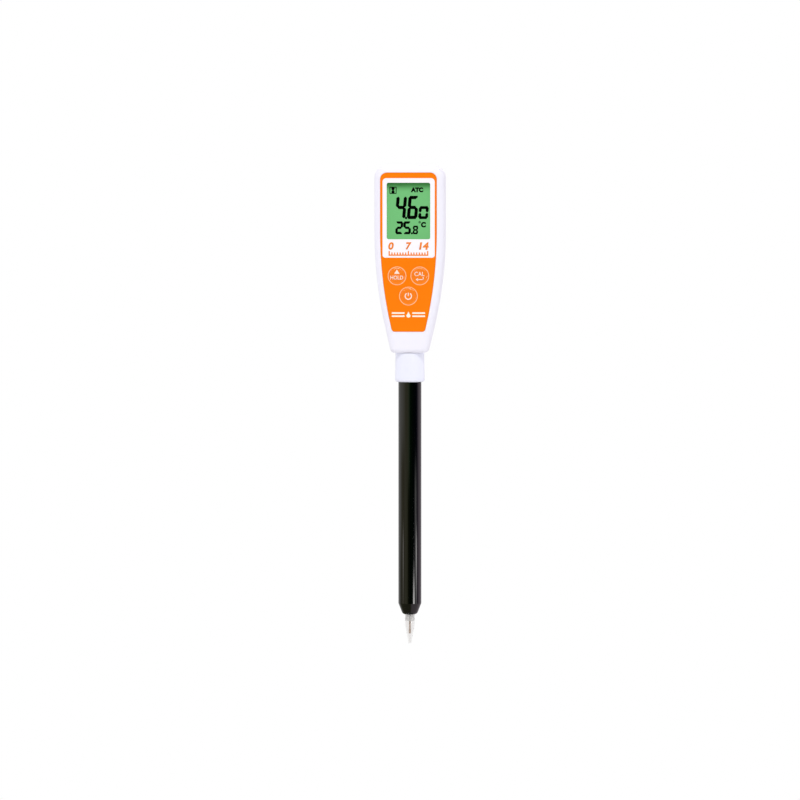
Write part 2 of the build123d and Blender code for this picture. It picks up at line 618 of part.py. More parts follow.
# ---- Probe socket in the housing ----
def make_probe_socket():
    """The sleeve that the shells clamp round the probe plug."""
    rib_base = HOUSING_BASE + SOCKET_RIB_HEIGHT
    flange = SOCKET_RADIUS + SOCKET_FLANGE_LAP
    profile = [(SOCKET_BORE, SOCKET_BASE), (SOCKET_RADIUS, SOCKET_BASE)]
    for base in (rib_base - SOCKET_FLANGE, rib_base + SOCKET_RIB):
        top = base + SOCKET_FLANGE
        profile += [(SOCKET_RADIUS, base), (flange, base), (flange, top), (SOCKET_RADIUS, top)]
    lip = SOCKET_BORE - SOCKET_LIP * 0.7
    profile += [(SOCKET_RADIUS, SOCKET_TOP), (lip, SOCKET_TOP), (lip, INSERT_TOP), (SOCKET_BORE, INSERT_TOP)]
    return turned(*profile)


def contact_radius():
    return PIN_DIAMETER / 2 + CONTACT_GAP + CONTACT_WALL


def make_socket_insert():
    insert = rod(0, 0, 2 * SOCKET_BORE, INSERT_BASE, INSERT_TOP)
    for x, y in PIN_PLACES:
        insert -= rod(x, y, 2 * contact_radius(), INSERT_BASE - 1, INSERT_TOP + 1)
    return insert


def make_socket_contacts():
    """Tubes that take the plug's pins, with tails that lie on both faces of the board."""
    contacts = []
    for x, y in PIN_PLACES:
        tube = rod(x, y, 2 * contact_radius(), INSERT_BASE, INSERT_TOP)
        tube -= rod(x, y, PIN_DIAMETER + 2 * CONTACT_GAP, INSERT_BASE - 1, INSERT_TOP - 2 * CONTACT_WALL)
        contacts.append(tube + rod(x, y, TAIL_DIAMETER, INSERT_TOP, INSERT_TOP + TAIL_LENGTH))
    return Compound(contacts)


# ---- Probe head ----
def make_probe_collar():
    bottom, top = COLLAR_DIAMETER / 2, COLLAR_TOP_DIAMETER / 2
    spigot = PLUG_FLANGE_DIAMETER / 2 + GLUE_GAP
    neck = PLUG_DIAMETER / 2 + GLUE_GAP
    body = turned((spigot, 0), (bottom, 0), (bottom, COLLAR_ROUND), (top, COLLAR_TOP),
                  (neck, COLLAR_TOP), (neck, PLUG_FLANGE_TOP), (spigot, PLUG_FLANGE_TOP))
    foot = body.edges().filter_by(GeomType.CIRCLE).group_by(Axis.Z)[0].sort_by(SortBy.RADIUS)[-1]
    return fillet(foot, COLLAR_ROUND * 0.95)


def make_probe_plug():
    """The plug base in the collar and the post that enters the housing, with an O-ring groove."""
    flange, post = PLUG_FLANGE_DIAMETER / 2, PLUG_DIAMETER / 2
    groove = HOUSING_BASE + O_RING_PLACE
    floor = post - O_RING_GROOVE
    half = O_RING_GROOVE
    plug = turned((0, TERMINAL_TOP), (flange, TERMINAL_TOP), (flange, PLUG_FLANGE_TOP),
                  (post, PLUG_FLANGE_TOP), (post, groove - half), (floor, groove - half),
                  (floor, groove + half), (post, groove + half), (post, PLUG_TOP - PLUG_CHAMFER),
                  (post - PLUG_CHAMFER, PLUG_TOP), (0, PLUG_TOP))
    for x, y in PIN_PLACES:
        plug -= rod(x, y, PIN_DIAMETER, TERMINAL_TOP - 1, PLUG_TOP + 1)
    return plug


def make_plug_pins():
    pins = []
    for x, y in PIN_PLACES:
        pin = rod(x, y, PIN_DIAMETER, TERMINAL_TOP, PIN_TOP)
        pins.append(chamfer(pin.edges().group_by(Axis.Z)[-1], PIN_DIAMETER / 4))
    return Compound(pins)


def make_plug_o_ring():
    floor = PLUG_DIAMETER / 2 - O_RING_GROOVE
    section = (SOCKET_BORE - PLUG_GAP / 4 - floor) / 2
    return Pos(0, 0, HOUSING_BASE + O_RING_PLACE) * Torus(floor + section, section)


def make_terminal_board():
    return rod(0, 0, PLUG_FLANGE_DIAMETER, SPIGOT_LENGTH, TERMINAL_TOP)


# ---- Probe tube and electrode ----
def make_probe_tube():
    """Hollow tube with a spigot in the collar and a rounded cone at its mouth."""
    tube, spigot, bore = TUBE_DIAMETER / 2, SPIGOT_DIAMETER / 2, TUBE_BORE / 2
    cone = (NOSE_CONE_DIAMETER / 2, -TUBE_LENGTH - NOSE_CONE_LENGTH)
    mouth = (MOUTH_RADIUS, NOSE)
    seat = NOSE + JUNCTION_LENGTH
    corners = [mouth, (MOUTH_RADIUS, seat), (bore, seat + bore - MOUTH_RADIUS), (bore, SPIGOT_LENGTH),
               (spigot, SPIGOT_LENGTH), (spigot, 0), (tube, 0), (tube, -TUBE_LENGTH), cone]
    run = (cone[0] - tube, -NOSE_CONE_LENGTH)
    return lathe(make_face([Polyline(*corners), TangentArc(cone, mouth, tangent=run)]))


def glass_outline(inset, top):
    """Half section of the glass electrode, moved in by inset: stem, bulge, spear and round point."""
    stem = (STEM_GLASS_DIAMETER / 2 - inset, NOSE)
    bulge = (BULGE_DIAMETER / 2 - inset, NOSE - BULGE_PLACE)
    spear = (SPEAR_DIAMETER / 2 - inset, NOSE - SPEAR_PLACE)
    point = (POINT_DIAMETER / 2 - inset, NOSE - POINT_PLACE)
    end = (0, NOSE - TIP_LENGTH + inset)
    side = Spline(stem, bulge, spear, point, tangents=[(0.05, -1), (-0.1, -1)])
    cap = Spline(point, end, tangents=[(-0.1, -1), (-1, 0)])
    return make_face([Polyline(end, (0, top), (stem[0], top), stem), side, cap])


def make_glass_electrode():
    solid = lathe(glass_outline(0, -STEM_GLASS_TOP))
    return solid - lathe(glass_outline(GLASS_WALL, -STEM_GLASS_TOP + 1))


def make_stem_seal():
    """The seal in the neck of the spear, round the silver wire."""
    inside = lathe(glass_outline(GLASS_WALL, -STEM_GLASS_TOP))
    seal = inside & rod(0, 0, TUBE_DIAMETER, NOSE - SEAL_LENGTH, NOSE)
    seal -= rod(0, 0, ELEMENT_DIAMETER, NOSE - SEAL_LENGTH - 1, NOSE - ELEMENT_PLACE)
    return seal - rod(0, 0, WIRE_DIAMETER, NOSE - SEAL_LENGTH - 1, NOSE + 1)


def make_silver_wire():
    return rod(0, 0, WIRE_DIAMETER, NOSE - ELEMENT_PLACE, SPIGOT_LENGTH)


def make_chloride_element():
    top = NOSE - ELEMENT_PLACE
    foot = top - ELEMENT_LENGTH
    element = rod(0, 0, ELEMENT_DIAMETER, foot, top)
    end = rod(0, 0, ELEMENT_END_DIAMETER, foot - ELEMENT_END_LENGTH, foot)
    return element + fillet(end.edges().group_by(Axis.Z)[0], ELEMENT_END_DIAMETER * 0.4)


def make_reference_wire():
    return rod(0, ANNULUS_RADIUS, WIRE_DIAMETER, REFERENCE_END, SPIGOT_LENGTH)


def make_temperature_sensor():
    """A bead beside the glass stem, with two leads up to the terminal board."""
    radius = SENSOR_DIAMETER / 2
    bead = rod(0, -ANNULUS_RADIUS, SENSOR_DIAMETER, SENSOR_BASE, SENSOR_TOP)
    sensor = chamfer(bead.edges().filter_by(GeomType.CIRCLE), radius * 0.5)
    for s in (-1, 1):
        x = s * LEAD_SPACING / 2
        sensor += rod(x, -ANNULUS_RADIUS, LEAD_DIAMETER, SENSOR_TOP - radius, SPIGOT_LENGTH)
    return sensor


def make_junction_ring():
    """The porous ring that closes the mouth of the tube round the glass stem."""
    stem, bore = STEM_GLASS_DIAMETER / 2, TUBE_BORE / 2
    foot, seat, top = NOSE + GLASS_GAP, NOSE + JUNCTION_LENGTH, NOSE + 2 * JUNCTION_LENGTH
    return turned((stem, foot), (MOUTH_RADIUS, foot), (MOUTH_RADIUS, seat),
                  (bore, seat + bore - MOUTH_RADIUS), (bore, top), (stem, top))


def make_electrode_potting():
    """Resin that closes the tube above the glass stem and holds the wires."""
    base = -POTTING_TOP - POTTING_LENGTH
    potting = rod(0, 0, TUBE_BORE, base, -POTTING_TOP)
    potting -= rod(0, 0, STEM_GLASS_DIAMETER, base - 1, -STEM_GLASS_TOP)
    wires = [(0, 0, WIRE_DIAMETER), (0, ANNULUS_RADIUS, WIRE_DIAMETER)]
    wires += [(s * LEAD_SPACING / 2, -ANNULUS_RADIUS, LEAD_DIAMETER) for s in (-1, 1)]
    for x, y, diameter in wires:
        potting -= rod(x, y, diameter, base - 1, 0)
    return potting


# ---- The assembly ----
def build():
    """Every piece by name, in place."""
    outer, inner = housing_form(0), housing_form(WALL)
    pieces = {
        "front_housing": make_front_housing(outer, inner),
        "rear_housing": make_rear_housing(outer, inner),
        "battery_door": make_battery_door(outer, inner),
        "housing_gasket": gasket_band(GASKET_DEPTH),
        "housing_screws": make_housing_screws(),
        "faceplate_film": make_faceplate_film(),
        "display_window": make_display_window(),
        "lcd_panel": make_lcd_panel(),
        "lcd_frame": make_lcd_frame(),
        "backlight": make_backlight(),
        "zebra_connector": make_zebra_connector(),
        "circuit_board": make_circuit_board(),
        "board_chips": make_board_chips(),
        "tact_switches": make_tact_switches(),
        "battery_cells": make_battery_cells(),
        "battery_contacts": make_battery_contacts(),
        "battery_springs": make_battery_springs(),
        "probe_socket": make_probe_socket(),
        "socket_insert": make_socket_insert(),
        "socket_contacts": make_socket_contacts(),
        "probe_collar": make_probe_collar(),
        "probe_plug": make_probe_plug(),
        "plug_pins": make_plug_pins(),
        "plug_o_ring": make_plug_o_ring(),
        "terminal_board": make_terminal_board(),
        "probe_tube": make_probe_tube(),
        "glass_electrode": make_glass_electrode(),
        "stem_seal": make_stem_seal(),
        "silver_wire": make_silver_wire(),
        "chloride_element": make_chloride_element(),
        "reference_wire": make_reference_wire(),
        "temperature_sensor": make_temperature_sensor(),
        "junction_ring": make_junction_ring(),
        "electrode_potting": make_electrode_potting(),
    }
    for name, (x, z) in KEY_PLACES.items():
        pieces[f"{name}_key"] = make_key(x, z)
        pieces[f"{name}_switch_stem"] = make_switch_stem(x, z)
    return pieces


os.makedirs("parts", exist_ok=True)
for name, piece in build().items():
    export_step(piece, f"parts/{name}.step")
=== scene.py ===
# %% [markdown]
# # A pen-type pH meter
# This lesson dresses a finished CAD model of a pen pH meter: a white two-part housing with an orange
# front film, a green display and three round keys, and a long black tube with a glass spear at its end.
# The CAD solids already have the right shape, so most of the work is in the finishes, in the printing
# on the film and in the figures of the display.

# %% Load the frame
import json
import math

import bmesh
import bpy
from mathutils import Matrix, Vector


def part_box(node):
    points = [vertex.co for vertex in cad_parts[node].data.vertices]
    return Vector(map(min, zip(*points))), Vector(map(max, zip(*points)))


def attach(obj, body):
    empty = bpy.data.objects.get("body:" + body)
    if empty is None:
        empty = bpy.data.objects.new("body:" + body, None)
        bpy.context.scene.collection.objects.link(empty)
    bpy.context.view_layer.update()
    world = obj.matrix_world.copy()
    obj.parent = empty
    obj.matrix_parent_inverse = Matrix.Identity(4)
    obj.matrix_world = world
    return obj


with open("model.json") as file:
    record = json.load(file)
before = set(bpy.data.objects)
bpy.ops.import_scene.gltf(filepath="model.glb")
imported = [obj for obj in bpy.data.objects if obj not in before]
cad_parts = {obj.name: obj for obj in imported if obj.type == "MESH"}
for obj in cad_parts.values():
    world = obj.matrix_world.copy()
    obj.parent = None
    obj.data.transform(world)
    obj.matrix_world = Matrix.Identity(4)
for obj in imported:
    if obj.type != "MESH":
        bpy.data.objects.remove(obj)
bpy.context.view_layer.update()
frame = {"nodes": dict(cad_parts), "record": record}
NODES = frame["nodes"]
MM = 0.001

# %% [markdown]
# ## Camera
# The meter hangs upright and is seen from a little to its right and just above its middle. A long lens
# far away keeps its long sides almost parallel. The camera and the lamp are both placed by two angles
# round the meter, so a helper turns such a pair of angles into a direction.

# %% Camera
CAMERA_AZIMUTH = math.radians(5.1)      # from straight in front toward the meter's right
CAMERA_ELEVATION = math.radians(2.5)
CAMERA_DISTANCE = 2.43
LENS_MM = 200.0
SENSOR_MM = 36.0
CLIP_START = 0.05
VIEW_CENTRE_RIGHT = -5.4 * MM
VIEW_CENTRE_HEIGHT = -10.0 * MM


def direction(azimuth, elevation):
    """The direction seen from the meter at these angles; 0, 0 is straight in front, along -Y."""
    return Vector((
        math.sin(azimuth) * math.cos(elevation),
        -math.cos(azimuth) * math.cos(elevation),
        math.sin(elevation),
    ))


scene = bpy.context.scene
camera_data = bpy.data.cameras.new("camera")
camera_data.lens = LENS_MM
camera_data.sensor_width = SENSOR_MM
camera_data.clip_start = CLIP_START
camera = bpy.data.objects.new("camera", camera_data)
scene.collection.objects.link(camera)
toward_camera = direction(CAMERA_AZIMUTH, CAMERA_ELEVATION)
to_the_right = Vector((math.cos(CAMERA_AZIMUTH), math.sin(CAMERA_AZIMUTH), 0.0))
aim = to_the_right * VIEW_CENTRE_RIGHT + Vector((0.0, 0.0, VIEW_CENTRE_HEIGHT))
camera.location = aim + toward_camera * CAMERA_DISTANCE
camera.rotation_euler = toward_camera.to_track_quat("Z", "Y").to_euler()
scene.camera = camera
scene.view_settings.view_transform = "Standard"
print("camera at", [round(v, 3) for v in camera.location])

# %% [markdown]
# ## Nodes by function
# Light and finishes are both built from shader nodes. A helper for each kind of node makes it, feeds its
# sockets and returns what it puts out, so that nodes can be nested like sums. Wherever such a helper
# takes a value, it may be a number, a colour or the output of another node.

# %% Sockets and sums
def feed(tree, value, socket):
    """Links a socket to a socket, or sets a number or a colour on it."""
    if isinstance(value, bpy.types.NodeSocket):
        tree.links.new(value, socket)
    elif isinstance(value, tuple):
        socket.default_value = (*value, 1.0)
    else:
        socket.default_value = value


def math_node(tree, operation, *values):
    """The result of one sum."""
    node = tree.nodes.new("ShaderNodeMath")
    node.operation = operation
    for value, socket in zip(values, node.inputs):
        feed(tree, value, socket)
    return node.outputs[0]


def split_xyz(tree, vector):
    """The outputs X, Y and Z of a vector."""
    node = tree.nodes.new("ShaderNodeSeparateXYZ")
    feed(tree, vector, node.inputs[0])
    return node.outputs


# %% [markdown]
# ## Directions in the world
# White plastic on a white ground needs even light, so most of it comes from the world, from all sides.
# The world's nodes answer one question: what does a ray meet that goes this way? Its Generated coordinate
# is the ray's direction. The height of that is the ray's slope, and its angle round the upright axis is
# the bearing: 0 toward the camera, minus to the left and plus to the right. The camera's own angle is
# only the zero of this scale. All that is painted below keeps its place when the camera moves.

# %% Slope and bearing
FULL_TURN = 360.0

world = bpy.data.worlds.new("studio")
world.use_nodes = True
scene.world = world
sky = world.node_tree
sky.nodes.clear()
ray = split_xyz(sky, sky.nodes.new("ShaderNodeTexCoord").outputs["Generated"])
slope = ray["Z"]
frontward = math_node(sky, "MULTIPLY", ray["Y"], -1.0)
bearing = math_node(sky, "ARCTAN2", ray["X"], frontward)
bearing = math_node(sky, "MULTIPLY", bearing, math.degrees(1.0))
bearing = math_node(sky, "SUBTRACT", bearing, math.degrees(CAMERA_AZIMUTH))
print("bearing 0 is", round(math.degrees(CAMERA_AZIMUTH), 1), "degrees right of the meter's front")

# %% [markdown]
# ## What gloss reflects
# A glossy black tube shows hardly anything but its surroundings, so a studio is painted for it: dark
# toward the camera and pale panels at the sides, which is what makes black gloss look black with two
# bright flanks. One colour ramp runs round the meter and holds the panels.

# %% Panels round the meter
PANELS = (                          # bearing in degrees and colour
    (-180, (0.75, 0.75, 0.75)), (-125, (0.80, 0.80, 0.78)), (-84, (1.0, 0.98, 0.88)),
    (-60, (0.80, 0.78, 0.62)), (-42, (0.50, 0.48, 0.30)), (-18, (0.44, 0.46, 0.28)),
    (-8, (0.22, 0.34, 0.18)), (3, (0.01, 0.06, 0.01)), (30, (0.0, 0.015, 0.01)),
    (70, (0.0, 0.0, 0.03)), (86, (0.34, 0.27, 0.38)), (98, (0.80, 0.66, 0.78)),
    (180, (0.75, 0.75, 0.75)),
)

ramp = sky.nodes.new("ShaderNodeValToRGB")
feed(sky, math_node(sky, "ADD", math_node(sky, "DIVIDE", bearing, FULL_TURN), 0.5), ramp.inputs[0])
while len(ramp.color_ramp.elements) < len(PANELS):
    ramp.color_ramp.elements.new(0.5)
for element, (degrees, color) in zip(ramp.color_ramp.elements, PANELS):
    element.position = degrees / FULL_TURN + 0.5
    element.color = (*color, 1.0)
panel_color = ramp.outputs["Color"]
print("panel stops:", len(PANELS))

# %% [markdown]
# The tube is upright and the camera a little above its middle, so a ray mirrored by the tube dips, and it
# dips more the lower on the tube it starts. In the front view a slope therefore picks a height on the
# tube. Its left flank and its front get darker in steps toward the foot, and each step is a band of the
# studio that is dimmed between two bearings and below a slope. Soft steps and a colour mix do that.

# %% Soft step and colour mix
# the Mix node keeps a set of sockets for each kind of value; these are its colour ones
MIX_SHARE, MIX_FIRST, MIX_SECOND, MIX_RESULT = 0, 6, 7, 2


def soft_step(tree, value, start, end):
    """0 up to start and 1 from end on, smooth between them; end may also lie below start."""
    node = tree.nodes.new("ShaderNodeMapRange")
    node.interpolation_type = "SMOOTHSTEP"
    feed(tree, value, node.inputs["Value"])
    feed(tree, min(start, end), node.inputs["From Min"])
    feed(tree, max(start, end), node.inputs["From Max"])
    if start > end:
        feed(tree, 1.0, node.inputs["To Min"])
        feed(tree, 0.0, node.inputs["To Max"])
    return node.outputs["Result"]


def mix_color(tree, share, first, second, blend="MIX"):
    """The first colour at a share of 0 and the second, or its blend with the first, at 1."""
    node = tree.nodes.new("ShaderNodeMix")
    node.data_type = "RGBA"
    node.blend_type = blend
    for value, place in ((share, MIX_SHARE), (first, MIX_FIRST), (second, MIX_SECOND)):
        feed(tree, value, node.inputs[place])
    return node.outputs[MIX_RESULT]


# %% Dimmed bands
# the bearings where a band starts and ends, each as a soft step, the slopes of its own soft step, and
# what is left of each colour
DIMMED_BANDS = (
    ((-104, -88), (-46, -62), (-0.047, -0.061), (0.50, 0.47, 0.36)),
    ((-120, -108), (-86, -94), (-0.070, -0.083), (0.50, 0.50, 0.45)),
    ((-29, -15), (16, 6), (-0.057, -0.067), (0.20, 0.18, 0.14)),
)

for rise, fall, slopes, rest in DIMMED_BANDS:
    across = math_node(sky, "MULTIPLY", soft_step(sky, bearing, *rise), soft_step(sky, bearing, *fall))
    share = math_node(sky, "MULTIPLY", across, soft_step(sky, slope, *slopes))
    panel_color = mix_color(sky, share, panel_color, rest, blend="MULTIPLY")
print("dimmed bands:", len(DIMMED_BANDS))

# %% [markdown]
# Overhead hangs a bright ceiling, which draws the glints on the upper edges of the domed keys. Rays that
# dip steeply see what lies below: dull olive on the left and mauve on the right, and a plain grey
# straight down, so that the tube has no colour cast when it is seen from above. Each of these is a
# background of its own, and shader mixes choose between them by slope and bearing.

# %% Background and shader mix
WHITE = (1.0, 1.0, 1.0)


def backdrop(tree, color, strength=1.0):
    """A plain background of the world."""
    node = tree.nodes.new("ShaderNodeBackground")
    feed(tree, color, node.inputs["Color"])
    feed(tree, strength, node.inputs["Strength"])
    return node.outputs[0]


def mix_shader(tree, share, first, second):
    """The first shader at a share of 0 and the second at 1."""
    node = tree.nodes.new("ShaderNodeMixShader")
    for value, socket in zip((share, first, second), node.inputs):
        feed(tree, value, socket)
    return node.outputs[0]


# %% Ceiling and ground
CEILING_SLOPES, CEILING_LEVEL = (0.55, 0.75), 6.0
UNDER_SLOPES = (-0.30, -0.55)
UNDER_LEFT, UNDER_RIGHT = (0.22, 0.22, 0.13), (0.80, 0.70, 0.76)
UNDER_SPLIT = (6.0, 30.0)           # the bearings between which left turns into right
GROUND_SLOPES, GROUND_LEVEL = (-0.80, -0.92), 0.42

under = mix_shader(sky, soft_step(sky, bearing, *UNDER_SPLIT), backdrop(sky, UNDER_LEFT),
                   backdrop(sky, UNDER_RIGHT))
above = mix_shader(sky, soft_step(sky, slope, *CEILING_SLOPES), backdrop(sky, panel_color),
                   backdrop(sky, WHITE, CEILING_LEVEL))
below = mix_shader(sky, soft_step(sky, slope, *GROUND_SLOPES), under, backdrop(sky, WHITE, GROUND_LEVEL))
reflected = mix_shader(sky, soft_step(sky, slope, *UNDER_SLOPES), above, below)
print("ceiling from slope", CEILING_SLOPES[0], "and ground from", GROUND_SLOPES[0])

# %% [markdown]
# ## Lit slits
# The fine bright streaks on the tube are reflections of narrow lamps. Each is a glow added over the
# studio. It is soft at both edges of its bearing, and it grows from one slope to the next, so that its
# streak starts part of the way down the tube. Most of them fade again further down.

# %% Slits
# bearing and half width in degrees, level, the slopes where a slit starts and where it is full, and how
# much of it is lost further down
SLITS = (
    (41.0, 8.0, 13.0, -0.0790, -0.0935, 0.0),
    (60.0, 10.0, 1.1, -0.054, -0.066, 0.5),
    (68.8, 7.2, 4.7, -0.0705, -0.0772, 0.98),
    (-71.0, 4.0, 2.2, -0.070, -0.0765, 0.90),
)
SLIT_EDGE = (1.3, 0.7)              # a slit's soft edge, as shares of its half width
SLIT_FADE = 0.016                   # the fall of slope over which a slit is lost
SLIT_END = (-0.30, -0.20)           # the slopes at which every slit stops
SLIT_TINT = (1.0, 0.98, 0.97)

for centre, half, level, start, full, loss in SLITS:
    off = math_node(sky, "ABSOLUTE", math_node(sky, "SUBTRACT", bearing, centre))
    glow = math_node(sky, "MULTIPLY", soft_step(sky, off, *(half * share for share in SLIT_EDGE)),
                     soft_step(sky, slope, start, full))
    glow = math_node(sky, "MULTIPLY", glow, soft_step(sky, slope, *SLIT_END))
    lost = math_node(sky, "MULTIPLY", soft_step(sky, slope, full, full - SLIT_FADE), loss)
    kept = math_node(sky, "SUBTRACT", level, math_node(sky, "MULTIPLY", lost, level))
    glow = math_node(sky, "MULTIPLY", glow, kept)
    added = sky.nodes.new("ShaderNodeAddShader")
    feed(sky, reflected, added.inputs[0])
    feed(sky, backdrop(sky, SLIT_TINT, glow), added.inputs[1])
    reflected = added.outputs[0]
print("slits:", len(SLITS))

# %% [markdown]
# ## Which ray sees what
# The Light Path node tells what kind of ray is asking. Matt surfaces are lit by the ambient light alone,
# a white with a hint of violet. It is weaker from the front, where the lamp shines, and from straight
# above, and a little stronger from the right. Glossy rays see the painted studio. The camera sees plain
# white, and so does whatever looks through clear plastic and glass.

# %% Ambient light and ray kinds
AMBIENT_TINT, AMBIENT_LEVEL = (0.985, 0.975, 1.0), 1.02
AMBIENT_FRONT_LOSS, AMBIENT_FRONT_SPAN = 0.22, (0.1, 0.9)
AMBIENT_TOP_LOSS, AMBIENT_TOP_SPAN = 0.8, (0.80, 0.96)
AMBIENT_RIGHT_GAIN, AMBIENT_RIGHT_SPAN = 0.045, (0.2, 0.9)

front_loss, top_loss, right_gain = (
    math_node(sky, "MULTIPLY", soft_step(sky, part, *span), amount) for part, span, amount in (
        (frontward, AMBIENT_FRONT_SPAN, AMBIENT_FRONT_LOSS),
        (slope, AMBIENT_TOP_SPAN, AMBIENT_TOP_LOSS),
        (ray["X"], AMBIENT_RIGHT_SPAN, AMBIENT_RIGHT_GAIN),
    ))
ambient_loss = math_node(sky, "SUBTRACT", math_node(sky, "ADD", front_loss, top_loss), right_gain)
ambient = backdrop(sky, AMBIENT_TINT, math_node(sky, "SUBTRACT", AMBIENT_LEVEL, ambient_loss))
kinds = sky.nodes.new("ShaderNodeLightPath").outputs
lit = mix_shader(sky, kinds["Is Glossy Ray"], ambient, reflected)
see_through = math_node(sky, "MAXIMUM", kinds["Is Camera Ray"], kinds["Is Transmission Ray"])
seen = mix_shader(sky, see_through, lit, backdrop(sky, WHITE))
feed(sky, seen, sky.nodes.new("ShaderNodeOutputWorld").inputs[0])
print("world nodes:", len(sky.nodes))

# %% [markdown]
# ## Lamp
# One lamp high in front draws the soft shadow that the housing throws on the collar, and glints on the
# keys. It is a sun a few degrees wide: a narrower one would give the shadow a hard edge.

# %% Lamp
LAMP_AZIMUTH = math.radians(2.0)
LAMP_ELEVATION = math.radians(46.0)
LAMP_STRENGTH = 1.08
LAMP_SPREAD = math.radians(5.0)

lamp_data = bpy.data.lights.new("high_front", "SUN")
lamp_data.energy = LAMP_STRENGTH
lamp_data.angle = LAMP_SPREAD
lamp = bpy.data.objects.new("high_front", lamp_data)
scene.collection.objects.link(lamp)
lamp.rotation_euler = direction(LAMP_AZIMUTH, LAMP_ELEVATION).to_track_quat("Z", "Y").to_euler()
print("lamp strength:", LAMP_STRENGTH)

# %% [markdown]
# ## Shared effects
# Two effects appear in almost every finish, so each is a node group with named inputs and outputs, built
# once and placed in every material with its own values. Both read noise over the object's own
# coordinates, so they stay on the piece when it moves.

# %% Group helpers
NOISE_DETAIL = 3.0
FLOAT, COLOR = "NodeSocketFloat", "NodeSocketColor"


def new_group(name, inputs, outputs):
    """An empty shader group, with the sockets inside it.

    Its inputs are given as (name, kind, default) and its outputs as (name, kind).
    """
    group = bpy.data.node_groups.new(name, "ShaderNodeTree")
    for label, kind, default in inputs:
        feed(group, default, group.interface.new_socket(label, in_out="INPUT", socket_type=kind))
    for label, kind in outputs:
        group.interface.new_socket(label, in_out="OUTPUT", socket_type=kind)
    return group, group.nodes.new("NodeGroupInput").outputs, group.nodes.new("NodeGroupOutput").inputs


def place_group(tree, group, **values):
    """A group in a material, with its own values for the named inputs."""
    node = tree.nodes.new("ShaderNodeGroup")
    node.node_tree = group
    for label, value in values.items():
        feed(tree, value, node.inputs[label])
    return node.outputs


def object_place(tree):
    return tree.nodes.new("ShaderNodeTexCoord").outputs["Object"]


def noise(tree, scale):
    """Noise between 0 and 1 over the object's own coordinates."""
    node = tree.nodes.new("ShaderNodeTexNoise")
    feed(tree, NOISE_DETAIL, node.inputs["Detail"])
    feed(tree, object_place(tree), node.inputs["Vector"])
    feed(tree, scale, node.inputs["Scale"])
    return node.outputs["Fac"]


# %% [markdown]
# The first group is the fine grain that a moulded or printed face takes from its tool. The grain itself
# is a height for a slight bump, and a coarser noise makes the gloss a little uneven, as handling does.

# %% Fine grain
SMEAR_SCALE = 60.0
grain_group, grain_in, grain_out = new_group(
    "fine_grain",
    [("Scale", FLOAT, 2500.0), ("Roughness", FLOAT, 0.4), ("Unevenness", FLOAT, 0.1)],
    [("Roughness", FLOAT), ("Height", FLOAT)],
)
grain_height = noise(grain_group, grain_in["Scale"])
smears = math_node(grain_group, "SUBTRACT", noise(grain_group, SMEAR_SCALE), 0.5)
smears = math_node(grain_group, "MULTIPLY", smears, grain_in["Unevenness"])
feed(grain_group, math_node(grain_group, "ADD", grain_in["Roughness"], smears), grain_out["Roughness"])
feed(grain_group, grain_height, grain_out["Height"])
print("fine_grain nodes:", len(grain_group.nodes))

# %% [markdown]
# The second group is a faint unevenness of colour, so that no surface is one flat value: soft patches of
# a slightly darker shade.

# %% Uneven tone
PATCH_SCALE = 35.0
PATCH_EDGE = (0.35, 0.75)
tone_group, tone_in, tone_out = new_group(
    "uneven_tone",
    [("Color", COLOR, WHITE), ("Shade", COLOR, (0.9, 0.9, 0.9)), ("Amount", FLOAT, 0.3)],
    [("Color", COLOR)],
)
patches = soft_step(tone_group, noise(tone_group, PATCH_SCALE), *PATCH_EDGE)
patches = math_node(tone_group, "MULTIPLY", patches, tone_in["Amount"])
feed(tone_group, mix_color(tone_group, patches, tone_in["Color"], tone_in["Shade"]), tone_out["Color"])
print("uneven_tone nodes:", len(tone_group.nodes))

# %% [markdown]
# ## Finishes
# Every opaque finish starts from one function: a Principled shader with uneven tone in its colour and
# fine grain in its gloss and bump. Each real finish then sets its own colour, gloss and grain, and adds
# what it needs.

# %% Opaque finish
SHADE_SHARE = 0.93                  # the patches of uneven tone, as a share of the colour
UNEVEN_SHARE = 0.25                 # how much the gloss varies, as a share of the roughness
GRAIN_DEPTH = 0.05 * MM


def new_material(name):
    """A material, with its node tree and its shader."""
    material = bpy.data.materials.new(name)
    material.use_nodes = True
    tree = material.node_tree
    return material, tree, tree.nodes["Principled BSDF"]


def finish_of(name, color, roughness, grain=2500.0, bump=0.02, tone=0.25, metallic=0.0, specular=0.5):
    """A material with tone and grain."""
    material, tree, shader = new_material(name)
    feed(tree, metallic, shader.inputs["Metallic"])
    feed(tree, specular, shader.inputs["Specular IOR Level"])
    shade = tuple(channel * SHADE_SHARE for channel in color)
    toned = place_group(tree, tone_group, Color=color, Shade=shade, Amount=tone)
    feed(tree, toned["Color"], shader.inputs["Base Color"])
    grained = place_group(tree, grain_group, Scale=grain, Roughness=roughness,
                          Unevenness=roughness * UNEVEN_SHARE)
    feed(tree, grained["Roughness"], shader.inputs["Roughness"])
    ripple = tree.nodes.new("ShaderNodeBump")
    feed(tree, bump, ripple.inputs["Strength"])
    feed(tree, GRAIN_DEPTH, ripple.inputs["Distance"])
    feed(tree, grained["Height"], ripple.inputs["Height"])
    feed(tree, ripple.outputs["Normal"], shader.inputs["Normal"])
    return material
